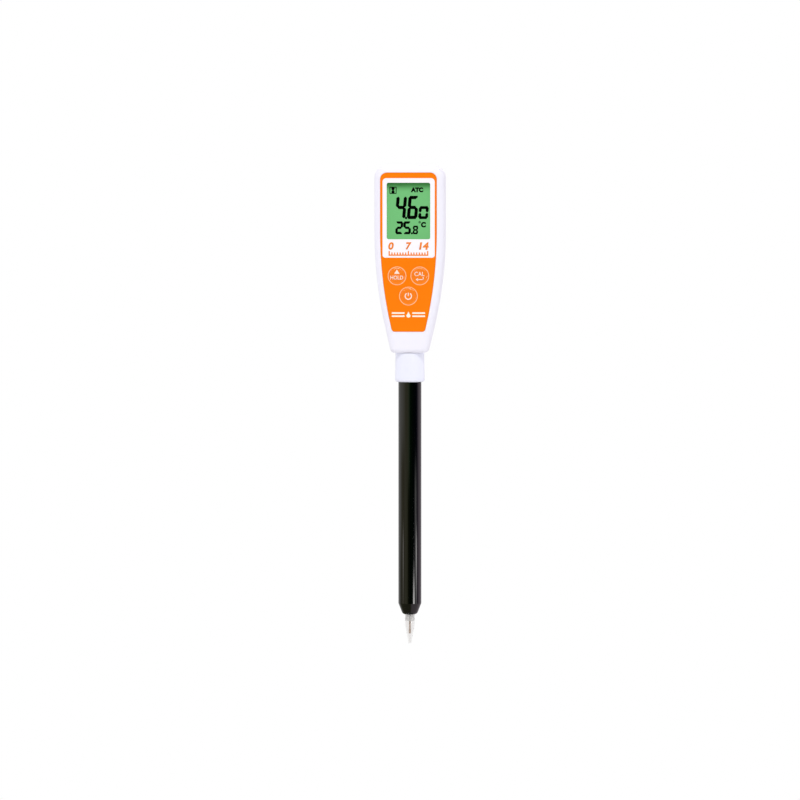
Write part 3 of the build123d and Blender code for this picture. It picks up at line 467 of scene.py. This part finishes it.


# %% [markdown]
# The housing is satin white plastic, and the collar of the probe is moulded apart, in a cooler white. That
# white is also set darker than the housing's, as painted shade for the shadow the housing throws on the
# collar. The film is printed polyester, matt enough to be read in bright light. The tube is polished black
# resin: its own colour is almost nothing, and all that shows is gloss.

# %% Outer finishes
ORANGE = (0.93, 0.205, 0.002)
FILM_GRAIN = 3500.0
finishes = {
    "white_plastic": finish_of("white_plastic", (0.873, 0.861, 0.937), 0.42, bump=0.03, tone=0.12,
                               specular=0.09),
    "orange_film": finish_of("orange_film", ORANGE, 0.55, grain=FILM_GRAIN, tone=0.12, specular=0.05),
    "tube_black": finish_of("tube_black", (0.0006, 0.0007, 0.0006), 0.03, grain=900.0, bump=0.008,
                            tone=0.6),
}
# the collar's own cooler white, set darker as painted shade for the housing's shadow on it
collar_cool_white_and_shade = finish_of("collar_cool_white_and_shade", (0.834, 0.845, 0.948), 0.42, bump=0.03, tone=0.12, specular=0.1)
print("outer finishes:", list(finishes) + [collar_cool_white_and_shade.name])

# %% [markdown]
# Inside are the plain materials of any small instrument: moulded plastic, rubber, a green circuit board,
# steel, gilded contacts, and in the probe silver, its dark chloride coat, a porous white junction and
# resin. They differ only in colour and gloss, so one table and one loop make them all.

# %% Inner finishes
INNER_FINISHES = {
    "grey_plastic": dict(color=(0.42, 0.43, 0.45), roughness=0.5),
    "light_guide": dict(color=(0.7, 0.9, 0.7), roughness=0.3),
    "rubber_black": dict(color=(0.02, 0.02, 0.02), roughness=0.7, bump=0.1),
    "rubber_grey": dict(color=(0.30, 0.30, 0.31), roughness=0.7, bump=0.1),
    "board_green": dict(color=(0.015, 0.14, 0.05), roughness=0.35, tone=0.5),
    "chip_black": dict(color=(0.02, 0.02, 0.022), roughness=0.5, bump=0.08),
    "switch_plastic": dict(color=(0.04, 0.04, 0.045), roughness=0.5),
    "switch_stem": dict(color=(0.30, 0.12, 0.04), roughness=0.45),
    "screw_steel": dict(color=(0.55, 0.55, 0.57), roughness=0.3, grain=4000.0, metallic=1.0),
    "cell_jacket": dict(color=(0.05, 0.07, 0.12), roughness=0.25, tone=0.4),
    "spring_steel": dict(color=(0.72, 0.72, 0.74), roughness=0.22, metallic=1.0),
    "gold_contact": dict(color=(0.85, 0.58, 0.2), roughness=0.2, metallic=1.0),
    "silver": dict(color=(0.50, 0.46, 0.45), roughness=0.45, metallic=1.0),
    "silver_chloride": dict(color=(0.52, 0.43, 0.36), roughness=0.6, grain=6000.0, tone=0.8),
    "junction_white": dict(color=(0.75, 0.75, 0.73), roughness=0.8, bump=0.2),
    "resin": dict(color=(0.03, 0.03, 0.03), roughness=0.3),
}
for name, values in INNER_FINISHES.items():
    finishes[name] = finish_of(name, **values)
print("inner finishes:", len(INNER_FINISHES))

# %% [markdown]
# The pane over the display and the glass of the tip are clear. A ray tracer treats the shadow of clear
# glass as a dark one, so for shadow and diffuse rays both are simply see-through: light then reaches what
# is behind them. Real glass is never quite even, so its gloss ripples a little.

# %% Clear finishes
CLEAR_RIPPLE_SCALE = 400.0
CLEAR_RIPPLE = 0.02
CLEAR_ROUGHNESS = 0.01


def clear_finish(name, color, ior):
    """Clear plastic or glass that lets lamp and sky light through to what is behind it."""
    material, tree, shader = new_material(name)
    feed(tree, color, shader.inputs["Base Color"])
    feed(tree, ior, shader.inputs["IOR"])
    feed(tree, 1.0, shader.inputs["Transmission Weight"])
    ripples = math_node(tree, "MULTIPLY", noise(tree, CLEAR_RIPPLE_SCALE), CLEAR_RIPPLE)
    feed(tree, math_node(tree, "ADD", ripples, CLEAR_ROUGHNESS), shader.inputs["Roughness"])
    kinds = tree.nodes.new("ShaderNodeLightPath").outputs
    lets_by = math_node(tree, "MAXIMUM", kinds["Is Shadow Ray"], kinds["Is Diffuse Ray"])
    passing = tree.nodes.new("ShaderNodeBsdfTransparent")
    feed(tree, color, passing.inputs["Color"])
    mixed = mix_shader(tree, lets_by, shader.outputs[0], passing.outputs[0])
    feed(tree, mixed, tree.nodes["Material Output"].inputs["Surface"])
    return material


finishes["clear_window"] = clear_finish("clear_window", (0.985, 0.99, 0.985), 1.01)
finishes["clear_glass"] = clear_finish("clear_glass", (0.90, 0.89, 0.886), 1.2)
print("clear finishes: clear_window, clear_glass")

# %% [markdown]
# ## Display
# The display is lit from behind, so part of its green is its own glow. Its upper edge gets a painted shade
# for the shadow of the window's rim: a soft fall of brightness, glow included, over the first few
# millimetres, worked out from the height.

# %% Display finish
DISPLAY_GREEN = (0.060, 0.180, 0.067)
DISPLAY_SHADE_SPAN = (0.5 * MM, 6.4 * MM)       # below the top of the pane
DISPLAY_SHADE_GREEN = (0.0, 0.032, 0.0)
DISPLAY_LEAST = 0.18                            # the share of the green that is left at the top
DISPLAY_GLOW = 2.0
SWAY_SCALE, SWAY = 90.0, 0.8 * MM               # the edge of the shade isn't quite straight


def what_feeds(socket):
    return socket.links[0].from_socket


def display_finish(top):
    """Glowing green with a painted shade along its upper edge."""
    material = finish_of("lcd_glass", DISPLAY_GREEN, 0.5, bump=0.0, tone=0.08, specular=0.05)
    tree = material.node_tree
    shader = tree.nodes["Principled BSDF"]
    height = split_xyz(tree, object_place(tree))["Z"]
    sway = math_node(tree, "MULTIPLY", noise(tree, SWAY_SCALE), SWAY)
    depth = math_node(tree, "SUBTRACT", top, math_node(tree, "ADD", height, sway))
    share = math_node(tree, "MULTIPLY", soft_step(tree, depth, *DISPLAY_SHADE_SPAN), 1 - DISPLAY_LEAST)
    share = math_node(tree, "ADD", share, DISPLAY_LEAST)
    # painted shade: colour and glow fade toward a dark green at the top of the window
    green = mix_color(tree, share, DISPLAY_SHADE_GREEN, what_feeds(shader.inputs["Base Color"]))
    feed(tree, green, shader.inputs["Base Color"])
    feed(tree, green, shader.inputs["Emission Color"])
    feed(tree, DISPLAY_GLOW, shader.inputs["Emission Strength"])
    return material


finishes["lcd_glass"] = display_finish(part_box("display_window")[1].z)
print("display glow:", DISPLAY_GLOW)

# %% [markdown]
# ## Milky seal
# The seal in the neck of the glass is milky silicone, which lets the wire inside show through faintly.
# A plain share of Alpha does that without the cost of light scattered inside it.

# %% Milky seal
SEAL_COVER = 0.55
finishes["seal_grey"] = finish_of("seal_grey", (0.72, 0.73, 0.71), 0.5, bump=0.005, tone=0.2,
                                  specular=0.05)
seal_shader = finishes["seal_grey"].node_tree.nodes["Principled BSDF"]
seal_shader.inputs["Alpha"].default_value = SEAL_COVER
print("seal cover:", SEAL_COVER)

# %% [markdown]
# ## Keys
# The keys are the same orange, but glossier where the film is stretched over a dome. The lower side of a
# dome would lie in shade under the lamp, so a painted light lifts it there: that side glows in its own
# orange. The side is found by its normal: the more a face looks down, the more of the colour it gives off.

# %% Key finish
BLACK = (0.0, 0.0, 0.0)
KEY_RIM_PAINTED_LIGHT = 0.45
KEY_PAINTED_LIGHT_TURN = (-0.05, -0.6)        # the height of the normal where the painted light starts and is full
key_orange = finish_of("key_orange", ORANGE, 0.2, grain=FILM_GRAIN, tone=0.12, specular=0.5)
tree = key_orange.node_tree
key_shader = tree.nodes["Principled BSDF"]
facing = split_xyz(tree, tree.nodes.new("ShaderNodeNewGeometry").outputs["Normal"])
# painted light: the downward-facing rim of each dome glows in its own orange, lifting the shade there
painted_rim_light = mix_color(tree, soft_step(tree, facing["Z"], *KEY_PAINTED_LIGHT_TURN), BLACK,
                what_feeds(key_shader.inputs["Base Color"]))
feed(tree, painted_rim_light, key_shader.inputs["Emission Color"])
feed(tree, KEY_RIM_PAINTED_LIGHT, key_shader.inputs["Emission Strength"])
print("key rim glow:", KEY_RIM_PAINTED_LIGHT)

# %% [markdown]
# ## Giving each CAD piece its finish
# The record says which material slot each piece has, and the finishes above are named after those slots.
# The collar shares the housing's slot and the keys share the film's, so theirs are set apart.

# %% Dress the CAD pieces
KEYS = ("hold", "cal", "power")
for subpart in frame["record"]["subparts"]:
    mesh = NODES[subpart["node"]].data
    mesh.materials.clear()
    mesh.materials.append(finishes[subpart["material_slot"]])
# the collar's finish carries painted shade
NODES["probe_collar"].data.materials[0] = collar_cool_white_and_shade
for name in KEYS:
    NODES[name + "_key"].data.materials[0] = key_orange

# %% [markdown]
# ## Printing
# Ink on a film is a hair thick, so each printed shape is a flat outline raised a few hundredths of a
# millimetre. A rectangle starts as a single square, and a vertex bevel rounds or cuts its corners.

# %% Plates
FACING = Matrix.Rotation(math.radians(90), 4, "X")


def placed(x, z, width, height):
    """The matrix that lays a unit shape flat at (x, z), facing the reader, at this size."""
    return Matrix.Translation((x, 0, z)) @ FACING @ Matrix.Diagonal((width, height, 1, 1))


def plate(bm, x, z, width, height, radii=(0.0, 0.0), segments=8):
    """A rectangle round (x, z); radii are for its top and bottom corners, and one segment cuts them."""
    grid = bmesh.ops.create_grid(bm, x_segments=1, y_segments=1, size=0.5,
                                 matrix=placed(x, z, width, height))
    top = [v for v in grid["verts"] if v.co.z > z]
    bottom = [v for v in grid["verts"] if v.co.z < z]
    for radius, corners in zip(radii, (top, bottom)):
        if radius > 0:
            bmesh.ops.bevel(bm, geom=corners, offset=radius, offset_type="OFFSET", segments=segments,
                            profile=0.5, affect="VERTICES", material=-1)


# %% [markdown]
# A flat shape becomes ink when it is laid on a surface and its faces are extruded toward the reader. The
# finished piece then rides on the body that it is printed on, and gets its material.
# All inks are alike but for their colour.

# %% Ink
INK = 0.03 * MM


def raise_print(bm, back, thickness=INK):
    """Gives flat shapes their thickness: faces at the front, walls back to the surface."""
    bmesh.ops.translate(bm, verts=bm.verts, vec=(0, back, 0))
    grown = bmesh.ops.extrude_face_region(bm, geom=bm.faces[:])
    verts = [g for g in grown["geom"] if isinstance(g, bmesh.types.BMVert)]
    bmesh.ops.translate(bm, verts=verts, vec=(0, -thickness, 0))
    bmesh.ops.recalc_face_normals(bm, faces=bm.faces)


def add_piece(name, bm, material, body):
    """A finished bmesh becomes an object that rides on a body."""
    mesh = bpy.data.meshes.new(name)
    bm.to_mesh(mesh)
    bm.free()
    mesh.materials.append(material)
    piece = bpy.data.objects.new(name, mesh)
    scene.collection.objects.link(piece)
    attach(piece, body)
    print(name, "on", body, "with", len(mesh.polygons), "faces")


def ink(name, color):
    return finish_of(name, color, 0.5, grain=FILM_GRAIN, tone=0.1, specular=0.1)


# %% [markdown]
# ## Places taken from the frame
# The CAD nodes say where the film, the pane and the display are. All printing is measured from them, so
# it moves along when the model changes.

# %% Film, pane and window
film_low, film_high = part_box("faceplate_film")
pane_low, pane_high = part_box("display_window")
lcd_low, lcd_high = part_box("lcd_panel")
FILM_FACE, FILM_TOP = film_low.y, film_high.z
LCD_FACE = lcd_low.y
PANE_LAP = 1.2 * MM                 # from the edge of the pane to the edge of the white print
PRINT_LIP = 0.2 * MM                # the print reaches this much further down at the top
WINDOW_LEFT, WINDOW_RIGHT = pane_low.x + PANE_LAP, pane_high.x - PANE_LAP
WINDOW_BASE, WINDOW_TOP = pane_low.z + PANE_LAP, pane_high.z - PANE_LAP - PRINT_LIP
WINDOW_WIDTH, WINDOW_HEIGHT = WINDOW_RIGHT - WINDOW_LEFT, WINDOW_TOP - WINDOW_BASE
WINDOW_Z = (WINDOW_BASE + WINDOW_TOP) / 2
print("window", round(WINDOW_WIDTH / MM, 2), "x", round(WINDOW_HEIGHT / MM, 2))

# %% [markdown]
# ## White panel round the display
# The display sits in a white panel that is printed on the orange film. It is a rounded rectangle with the
# window cut out of it: two rounded outlines with the same number of corner points, bridged.

# %% White panel
PANEL_TOP = FILM_TOP - 3.0 * MM
PANEL_WIDTH = 28.45 * MM
PANEL_HEIGHT = 43.2 * MM
PANEL_X = 0.1 * MM
PANEL_CORNERS = (2.0 * MM, 1.4 * MM)
WINDOW_CORNERS = (1.0 * MM, 1.0 * MM)


def outline_loop(bm, x, z, width, height, radii):
    """The edges of a plate, without its face."""
    before = set(bm.faces)
    plate(bm, x, z, width, height, radii)
    face = (set(bm.faces) - before).pop()
    edges = list(face.edges)
    bmesh.ops.delete(bm, geom=[face], context="FACES_ONLY")
    return edges


panel = bmesh.new()
panel_z = PANEL_TOP - PANEL_HEIGHT / 2
loops = outline_loop(panel, PANEL_X, panel_z, PANEL_WIDTH, PANEL_HEIGHT, PANEL_CORNERS)
loops += outline_loop(panel, 0, WINDOW_Z, WINDOW_WIDTH, WINDOW_HEIGHT, WINDOW_CORNERS)
bmesh.ops.bridge_loops(panel, edges=loops)
raise_print(panel, FILM_FACE)
print_white = ink("print_white", (0.925, 0.905, 0.935))
add_piece("panel_print", panel, print_white, "meter")

# %% [markdown]
# ## Letters
# Letters come from a text object. It is made a mesh first, and only then fitted and laid in its place, so
# that the finished piece needs no place of its own. The weight makes the strokes fuller.

# %% Letters
def words(bm, text, x, z, width, height, weight=0.0):
    """Plain sans letters fitted into a width and height round (x, z)."""
    curve = bpy.data.curves.new("letters", "FONT")
    curve.body = text
    curve.offset = weight
    curve.resolution_u = 6
    letters = bpy.data.objects.new("letters", curve)
    mesh = bpy.data.meshes.new_from_object(letters)
    low = [min(v.co[i] for v in mesh.vertices) for i in (0, 1)]
    high = [max(v.co[i] for v in mesh.vertices) for i in (0, 1)]
    fit = Matrix.Diagonal((width / (high[0] - low[0]), height / (high[1] - low[1]), 1, 1))
    centre = Matrix.Translation((-(low[0] + high[0]) / 2, -(low[1] + high[1]) / 2, 0))
    mesh.transform(Matrix.Translation((x, 0, z)) @ FACING @ fit @ centre)
    bm.from_mesh(mesh)
    bpy.data.meshes.remove(mesh)
    bpy.data.objects.remove(letters)
    bpy.data.curves.remove(curve)


# %% [markdown]
# ## Scale under the display
# The foot of the panel carries a plain printed scale, from 0 to 14, in an orange a little duller than the
# film. Its ticks are one plate each, longer at 0, 7 and 14, and the figures are leaned by a shear.

# %% Scale
SCALE_HALF = 10.5 * MM
SCALE_BASE = PANEL_TOP - PANEL_HEIGHT + 1.0 * MM
SCALE_STEPS, LONG_EVERY = 14, 7
LONG_TICK, SHORT_TICK = 1.9 * MM, 1.1 * MM
TICK_WIDTH = 0.7 * MM
FIGURE_HEIGHT = 4.1 * MM
FIGURE_RISE = 3.3 * MM              # from the foot of the scale to the foot of its figures
FIGURE_LEAN = 0.16
FIGURE_WEIGHT = 0.045
SCALE_FIGURES = (                   # text, place along the scale and width
    ("0", -SCALE_HALF + 1.0 * MM, 2.9 * MM),
    ("7", 0.0, 2.8 * MM),
    ("14", SCALE_HALF - 1.9 * MM, 5.0 * MM),
)

scale = bmesh.new()
figure_z = SCALE_BASE + FIGURE_RISE + FIGURE_HEIGHT / 2
for text, x, width in SCALE_FIGURES:
    words(scale, text, x, figure_z, width, FIGURE_HEIGHT, weight=FIGURE_WEIGHT)
for v in scale.verts:
    v.co.x += FIGURE_LEAN * (v.co.z - figure_z)
plate(scale, 0, SCALE_BASE + TICK_WIDTH / 2, 2 * SCALE_HALF + TICK_WIDTH, TICK_WIDTH)
for step in range(SCALE_STEPS + 1):
    tick = SHORT_TICK if step % LONG_EVERY else LONG_TICK
    x = (2 * step / SCALE_STEPS - 1) * SCALE_HALF
    plate(scale, x, SCALE_BASE + tick / 2 + TICK_WIDTH, TICK_WIDTH, tick)
raise_print(scale, FILM_FACE - INK)
print_orange = ink("print_orange", (0.88, 0.24, 0.035))
add_piece("scale_print", scale, print_orange, "meter")

# %% [markdown]
# ## Round shapes
# Round shapes start as circles: a disc keeps its face, a ring is two bare circles bridged, and a triangle
# is a circle of three points.

# %% Round shapes
def disc(bm, x, z, radius, segments=64):
    bmesh.ops.create_circle(bm, cap_ends=True, segments=segments, radius=radius,
                            matrix=placed(x, z, 1, 1))


def ring(bm, x, z, outer, inner, segments=96):
    """A flat ring between two radii."""
    edges = []
    for radius in (outer, inner):
        circle = bmesh.ops.create_circle(bm, segments=segments, radius=radius,
                                         matrix=placed(x, z, 1, 1))
        edges += dict.fromkeys(e for v in circle["verts"] for e in v.link_edges)
    bmesh.ops.bridge_loops(bm, edges=edges)


def triangle(bm, x, z, width, height, turn=0.0):
    """A triangle that points up, turned about its middle by an angle."""
    spin = Matrix.Translation((x, 0, z)) @ Matrix.Rotation(turn, 4, "Y") @ Matrix.Translation((-x, 0, -z))
    shape = spin @ placed(x, z - height / 6, width / math.sqrt(3), height / 1.5)
    bmesh.ops.create_circle(bm, cap_ends=True, segments=3, radius=1.0, matrix=shape)


# %% [markdown]
# ## Mark on the foot of the film
# A plain mark stands below the keys: a drop between two pairs of bars, which only says that the probe is
# for liquids. The drop starts as a disc, and its upper points are drawn together and up.

# %% Mark
MARK_Z = FILM_TOP - 77.2 * MM
DROP_RADIUS = 1.15 * MM
DROP_SINK = 0.45 * MM               # the disc lies this much below the middle of the mark
DROP_PINCH = 0.6
DROP_POINT = 0.9 * MM
BAR_X, BAR_Z = 5.6 * MM, 0.85 * MM
BAR_LENGTH, BAR_HEIGHT, BAR_CORNER = 7.0 * MM, 0.85 * MM, 0.2 * MM

mark = bmesh.new()
disc(mark, 0, MARK_Z - DROP_SINK, DROP_RADIUS)
for v in mark.verts:
    lift = max(0.0, (v.co.z - MARK_Z + DROP_SINK) / DROP_RADIUS)
    v.co.x *= 1 - DROP_PINCH * lift
    v.co.z += DROP_POINT * lift ** 3
for side in (-1, 1):
    for row in (-1, 1):
        plate(mark, side * BAR_X, MARK_Z + row * BAR_Z, BAR_LENGTH, BAR_HEIGHT, (BAR_CORNER, BAR_CORNER))
raise_print(mark, FILM_FACE)
print_cream = ink("print_cream", (0.97, 0.90, 0.76))
add_piece("mark_print", mark, print_cream, "meter")

# %% [markdown]
# ## Key signs
# Each key has its sign in pale ink on top. The words on two keys only say what they do, one with an arrow
# up and one with an enter arrow, and the third has the usual sign for power: an open ring with a bar in
# the gap. All parts of a sign are placed from the middle of its key.

# %% Key signs
# each part of a sign: x and z from the middle of its key, width and height, in mm
HOLD_ARROW = (0.0, 2.3, 3.0, 2.4)
HOLD_WORD = (-0.1, -0.95, 7.0, 2.2)
CAL_WORD = (-0.15, 1.05, 5.5, 2.3)
ENTER_HEAD = (-1.55, -1.97, 1.7, 1.3)
ENTER_SHAFT = (0.45, -1.97, 3.2, 0.4)
ENTER_STEM = (1.9, -1.35, 0.4, 1.4)
POWER_BAR = (0.0, 0.95, 0.55, 1.75)
POWER_BAR_CORNER = 0.2 * MM
POWER_OUTER, POWER_INNER = 2.0 * MM, 1.42 * MM
POWER_GAP = math.radians(33)        # half of the opening at the top of the ring
HOLD_WEIGHT, CAL_WEIGHT = 0.02, 0.015


def on_key(x, z, part):
    """A part's place and size in metres, for a key whose middle is at (x, z)."""
    return x + part[0] * MM, z + part[1] * MM, part[2] * MM, part[3] * MM


def hold_sign(bm, x, z):
    triangle(bm, *on_key(x, z, HOLD_ARROW))
    words(bm, "HOLD", *on_key(x, z, HOLD_WORD), weight=HOLD_WEIGHT)


def cal_sign(bm, x, z):
    words(bm, "CAL", *on_key(x, z, CAL_WORD), weight=CAL_WEIGHT)
    triangle(bm, *on_key(x, z, ENTER_HEAD), turn=math.radians(-90))
    plate(bm, *on_key(x, z, ENTER_SHAFT))
    plate(bm, *on_key(x, z, ENTER_STEM))


def power_sign(bm, x, z):
    ring(bm, x, z, POWER_OUTER, POWER_INNER)
    gap = []
    for face in bm.faces:
        middle = face.calc_center_median()
        if abs(math.atan2(middle.x - x, middle.z - z)) < POWER_GAP:
            gap.append(face)
    bmesh.ops.delete(bm, geom=gap, context="FACES")
    plate(bm, *on_key(x, z, POWER_BAR), radii=(POWER_BAR_CORNER, POWER_BAR_CORNER))


# %% [markdown]
# ## Key rings
# On the real meter the film runs on into each key. The CAD keys are caps of their own with a narrow gap
# round them, so a thin web in the colour of the film covers the gap, and a fine pale ring is printed
# inside it, round the foot of the key. Both belong to the film and stay when the key goes down, while the
# sign goes down with it.

# %% Keys
KEY_RING_OUTER = 5.06 * MM
KEY_RING_INNER = 4.66 * MM
KEY_WEB_OUTER = 5.6 * MM
KEY_SIGNS = dict(zip(KEYS, (hold_sign, cal_sign, power_sign)))
print_peach = ink("print_peach", (0.97, 0.60, 0.32))
print_pale = ink("print_pale", (0.95, 0.76, 0.64))
KEY_BANDS = (
    ("ring", KEY_RING_OUTER, KEY_RING_INNER, print_peach),
    ("web", KEY_WEB_OUTER, KEY_RING_OUTER, finishes["orange_film"]),
)

for name, draw in KEY_SIGNS.items():
    low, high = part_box(name + "_key")
    x, z, crown = (low.x + high.x) / 2, (low.z + high.z) / 2, low.y
    sign = bmesh.new()
    draw(sign, x, z)
    raise_print(sign, crown, thickness=INK / 2)
    add_piece(name + "_sign", sign, print_pale, name + "_button")
    for part, outer, inner, material in KEY_BANDS:
        band = bmesh.new()
        ring(band, x, z, outer, inner)
        raise_print(band, FILM_FACE)
        add_piece(name + "_" + part, band, material, "meter")

# %% [markdown]
# ## Figures of the display
# The display shows its reading in seven-segment figures that lean a little. Every bar is a plate with cut
# corners: the upright bars and the middle bar are cut at both ends, and the top and bottom bars only on
# their inner side. A figure is a choice of bars, and thin gaps are left where they meet.

# %% Seven-segment figures
BAR_GAP = 0.10 * MM
POINTED, SLANTED = 0.40, 0.55       # corner cuts, as shares of the stroke
LEVEL_BAR_TRIM = 0.8                # the top and bottom bars are this many strokes shorter than the figure
BAR_PLACES = {
    "a": (0, 1), "g": (0, 0), "d": (0, -1), "b": (1, 1), "c": (1, -1), "e": (-1, -1), "f": (-1, 1),
}
BARS = {"0": "abcdef", "2": "abged", "4": "fgbc", "5": "afgcd", "6": "afgedc", "8": "abcdefg"}


def figure(bm, digit, left, base, width, height, stroke):
    """A seven-segment figure, upright; it is leaned later."""
    x, z = left + width / 2, base + height / 2
    tall = height / 2 - stroke / 4 - BAR_GAP
    point, slant = POINTED * stroke, SLANTED * stroke
    for letter in BARS[digit]:
        across, above = BAR_PLACES[letter]
        if across:
            plate(bm, x + across * (width - stroke) / 2, z + above * (BAR_GAP + tall / 2), stroke, tall,
                  (point, point), segments=1)
        elif above:
            cuts = (0, slant) if above > 0 else (slant, 0)
            plate(bm, x, z + above * (height - stroke) / 2, width - stroke * LEVEL_BAR_TRIM, stroke,
                  cuts, segments=1)
        else:
            plate(bm, x, z, width - stroke - 2 * BAR_GAP, stroke, (point, point), segments=1)


# %% [markdown]
# The large row is the reading and the small row the temperature. Each figure has its own width, because
# the last one of a row is drawn smaller. The lean is a shear from the foot of the row.

# %% Reading and temperature
READING_BASE = WINDOW_TOP - 19.75 * MM
SMALL_BASE = WINDOW_TOP - 28.0 * MM
FIGURE_ROWS = (                     # base, lean, then digit, left edge, width, height and stroke in mm
    (READING_BASE, 0.085, (
        ("4", -7.70, 5.80, 12.65, 1.82), ("6", -1.15, 5.75, 12.65, 1.82), ("0", 5.05, 5.40, 7.05, 1.60),
    )),
    (SMALL_BASE, 0.03, (
        ("2", -7.40, 4.20, 7.05, 1.35), ("5", -3.10, 4.20, 7.05, 1.35), ("8", 2.15, 2.85, 4.70, 0.95),
    )),
)

reading = bmesh.new()
for base, lean, figures in FIGURE_ROWS:
    before = set(reading.verts)
    for digit, left, width, height, stroke in figures:
        figure(reading, digit, left * MM, base, width * MM, height * MM, stroke * MM)
    for v in set(reading.verts) - before:
        v.co.x += lean * (v.co.z - base)
raise_print(reading, LCD_FACE)
segment_black = finish_of("segment_black", (0.0008, 0.001, 0.0008), 0.6, tone=0.3, specular=0.0)
add_piece("lcd_figures", reading, segment_black, "meter")

# %% [markdown]
# Small signs stand round the figures: the decimal points, the sign for degrees Celsius, and the letters
# that say that the temperature is allowed for.

# %% Small signs
POINTS = (                          # x and z of the middle, width, height and corner
    (-1.45 * MM, READING_BASE + 0.6 * MM, 1.25 * MM, 1.2 * MM, 0.3 * MM),
    (1.72 * MM, SMALL_BASE + 0.5 * MM, 1.05 * MM, 1.0 * MM, 0.25 * MM),
)
DEGREE_X, DEGREE_Z = 5.95 * MM, WINDOW_TOP - 21.45 * MM
DEGREE_OUTER, DEGREE_INNER = 0.58 * MM, 0.25 * MM
SIGN_WORDS = (                      # text, x, z, width and height
    ("C", 8.0 * MM, WINDOW_TOP - 22.8 * MM, 2.7 * MM, 3.0 * MM),
    ("ATC", 4.5 * MM, WINDOW_TOP - 3.85 * MM, 6.8 * MM, 2.7 * MM),
)
SIGN_WEIGHT = 0.075

signs = bmesh.new()
for x, z, width, height, corner in POINTS:
    plate(signs, x, z, width, height, (corner, corner))
ring(signs, DEGREE_X, DEGREE_Z, DEGREE_OUTER, DEGREE_INNER, segments=32)
for text, x, z, width, height in SIGN_WORDS:
    words(signs, text, x, z, width, height, weight=SIGN_WEIGHT)
print("small signs:", len(signs.faces), "faces")

# %% [markdown]
# The hold sign is an hourglass in a square frame. The frame is made like the white panel, as two outlines
# bridged, and the hourglass is two plates that are cut at the corners where they meet.

# %% Hold sign
HOLD_X, HOLD_Z = -8.6 * MM, WINDOW_TOP - 4.1 * MM
HOLD_SIDE, HOLD_LINE, HOLD_CORNER = 3.85 * MM, 0.42 * MM, 0.3 * MM
WEDGE_WIDTH, WEDGE_HEIGHT, WEDGE_CUT = 1.7 * MM, 1.65 * MM, 0.5 * MM

frame_edges = []
for side in (HOLD_SIDE, HOLD_SIDE - 2 * HOLD_LINE):
    frame_edges += outline_loop(signs, HOLD_X, HOLD_Z, side, side, (HOLD_CORNER, HOLD_CORNER))
bmesh.ops.bridge_loops(signs, edges=frame_edges)
for above, cuts in ((1, (0, WEDGE_CUT)), (-1, (WEDGE_CUT, 0))):
    plate(signs, HOLD_X, HOLD_Z + above * WEDGE_HEIGHT / 2, WEDGE_WIDTH, WEDGE_HEIGHT, cuts, segments=1)
raise_print(signs, LCD_FACE)
add_piece("lcd_signs", signs, segment_black, "meter")

# %% [markdown]
# ## Floor
# A plain pale floor lies well below the meter and catches its soft shadow. It fades out toward its rim, so
# that it melts into the white ground. Gloss sees the studio through the floor, so that the floor doesn't
# brighten the dark parts.

# %% Floor
FLOOR_HEIGHT = -0.30
FLOOR_RADIUS = 0.5
FLOOR_FADE = (FLOOR_RADIUS, FLOOR_RADIUS * 0.5)
FLOOR_COLOR, FLOOR_ROUGHNESS = (0.97, 0.97, 0.96), 0.9

floor_shape = bmesh.new()
bmesh.ops.create_circle(floor_shape, cap_ends=True, segments=96, radius=FLOOR_RADIUS,
                        matrix=Matrix.Translation((0, 0, FLOOR_HEIGHT)))
floor_mesh = bpy.data.meshes.new("floor")
floor_shape.to_mesh(floor_mesh)
floor_shape.free()
floor = bpy.data.objects.new("floor", floor_mesh)
scene.collection.objects.link(floor)

floor_material, tree, paint = new_material("floor")
feed(tree, FLOOR_COLOR, paint.inputs["Base Color"])
feed(tree, FLOOR_ROUGHNESS, paint.inputs["Roughness"])
spot = tree.nodes.new("ShaderNodeMapping")
spot.inputs["Scale"].default_value = (1, 1, 0)
feed(tree, object_place(tree), spot.inputs["Vector"])
reach = tree.nodes.new("ShaderNodeVectorMath")
reach.operation = "LENGTH"
feed(tree, spot.outputs["Vector"], reach.inputs[0])
fade = soft_step(tree, reach.outputs["Value"], *FLOOR_FADE)
unseen = math_node(tree, "SUBTRACT", 1.0, tree.nodes.new("ShaderNodeLightPath").outputs["Is Glossy Ray"])
cover = mix_shader(tree, math_node(tree, "MULTIPLY", fade, unseen),
                   tree.nodes.new("ShaderNodeBsdfTransparent").outputs[0], paint.outputs[0])
feed(tree, cover, tree.nodes["Material Output"].inputs["Surface"])
floor_mesh.materials.append(floor_material)
print("floor at", FLOOR_HEIGHT)
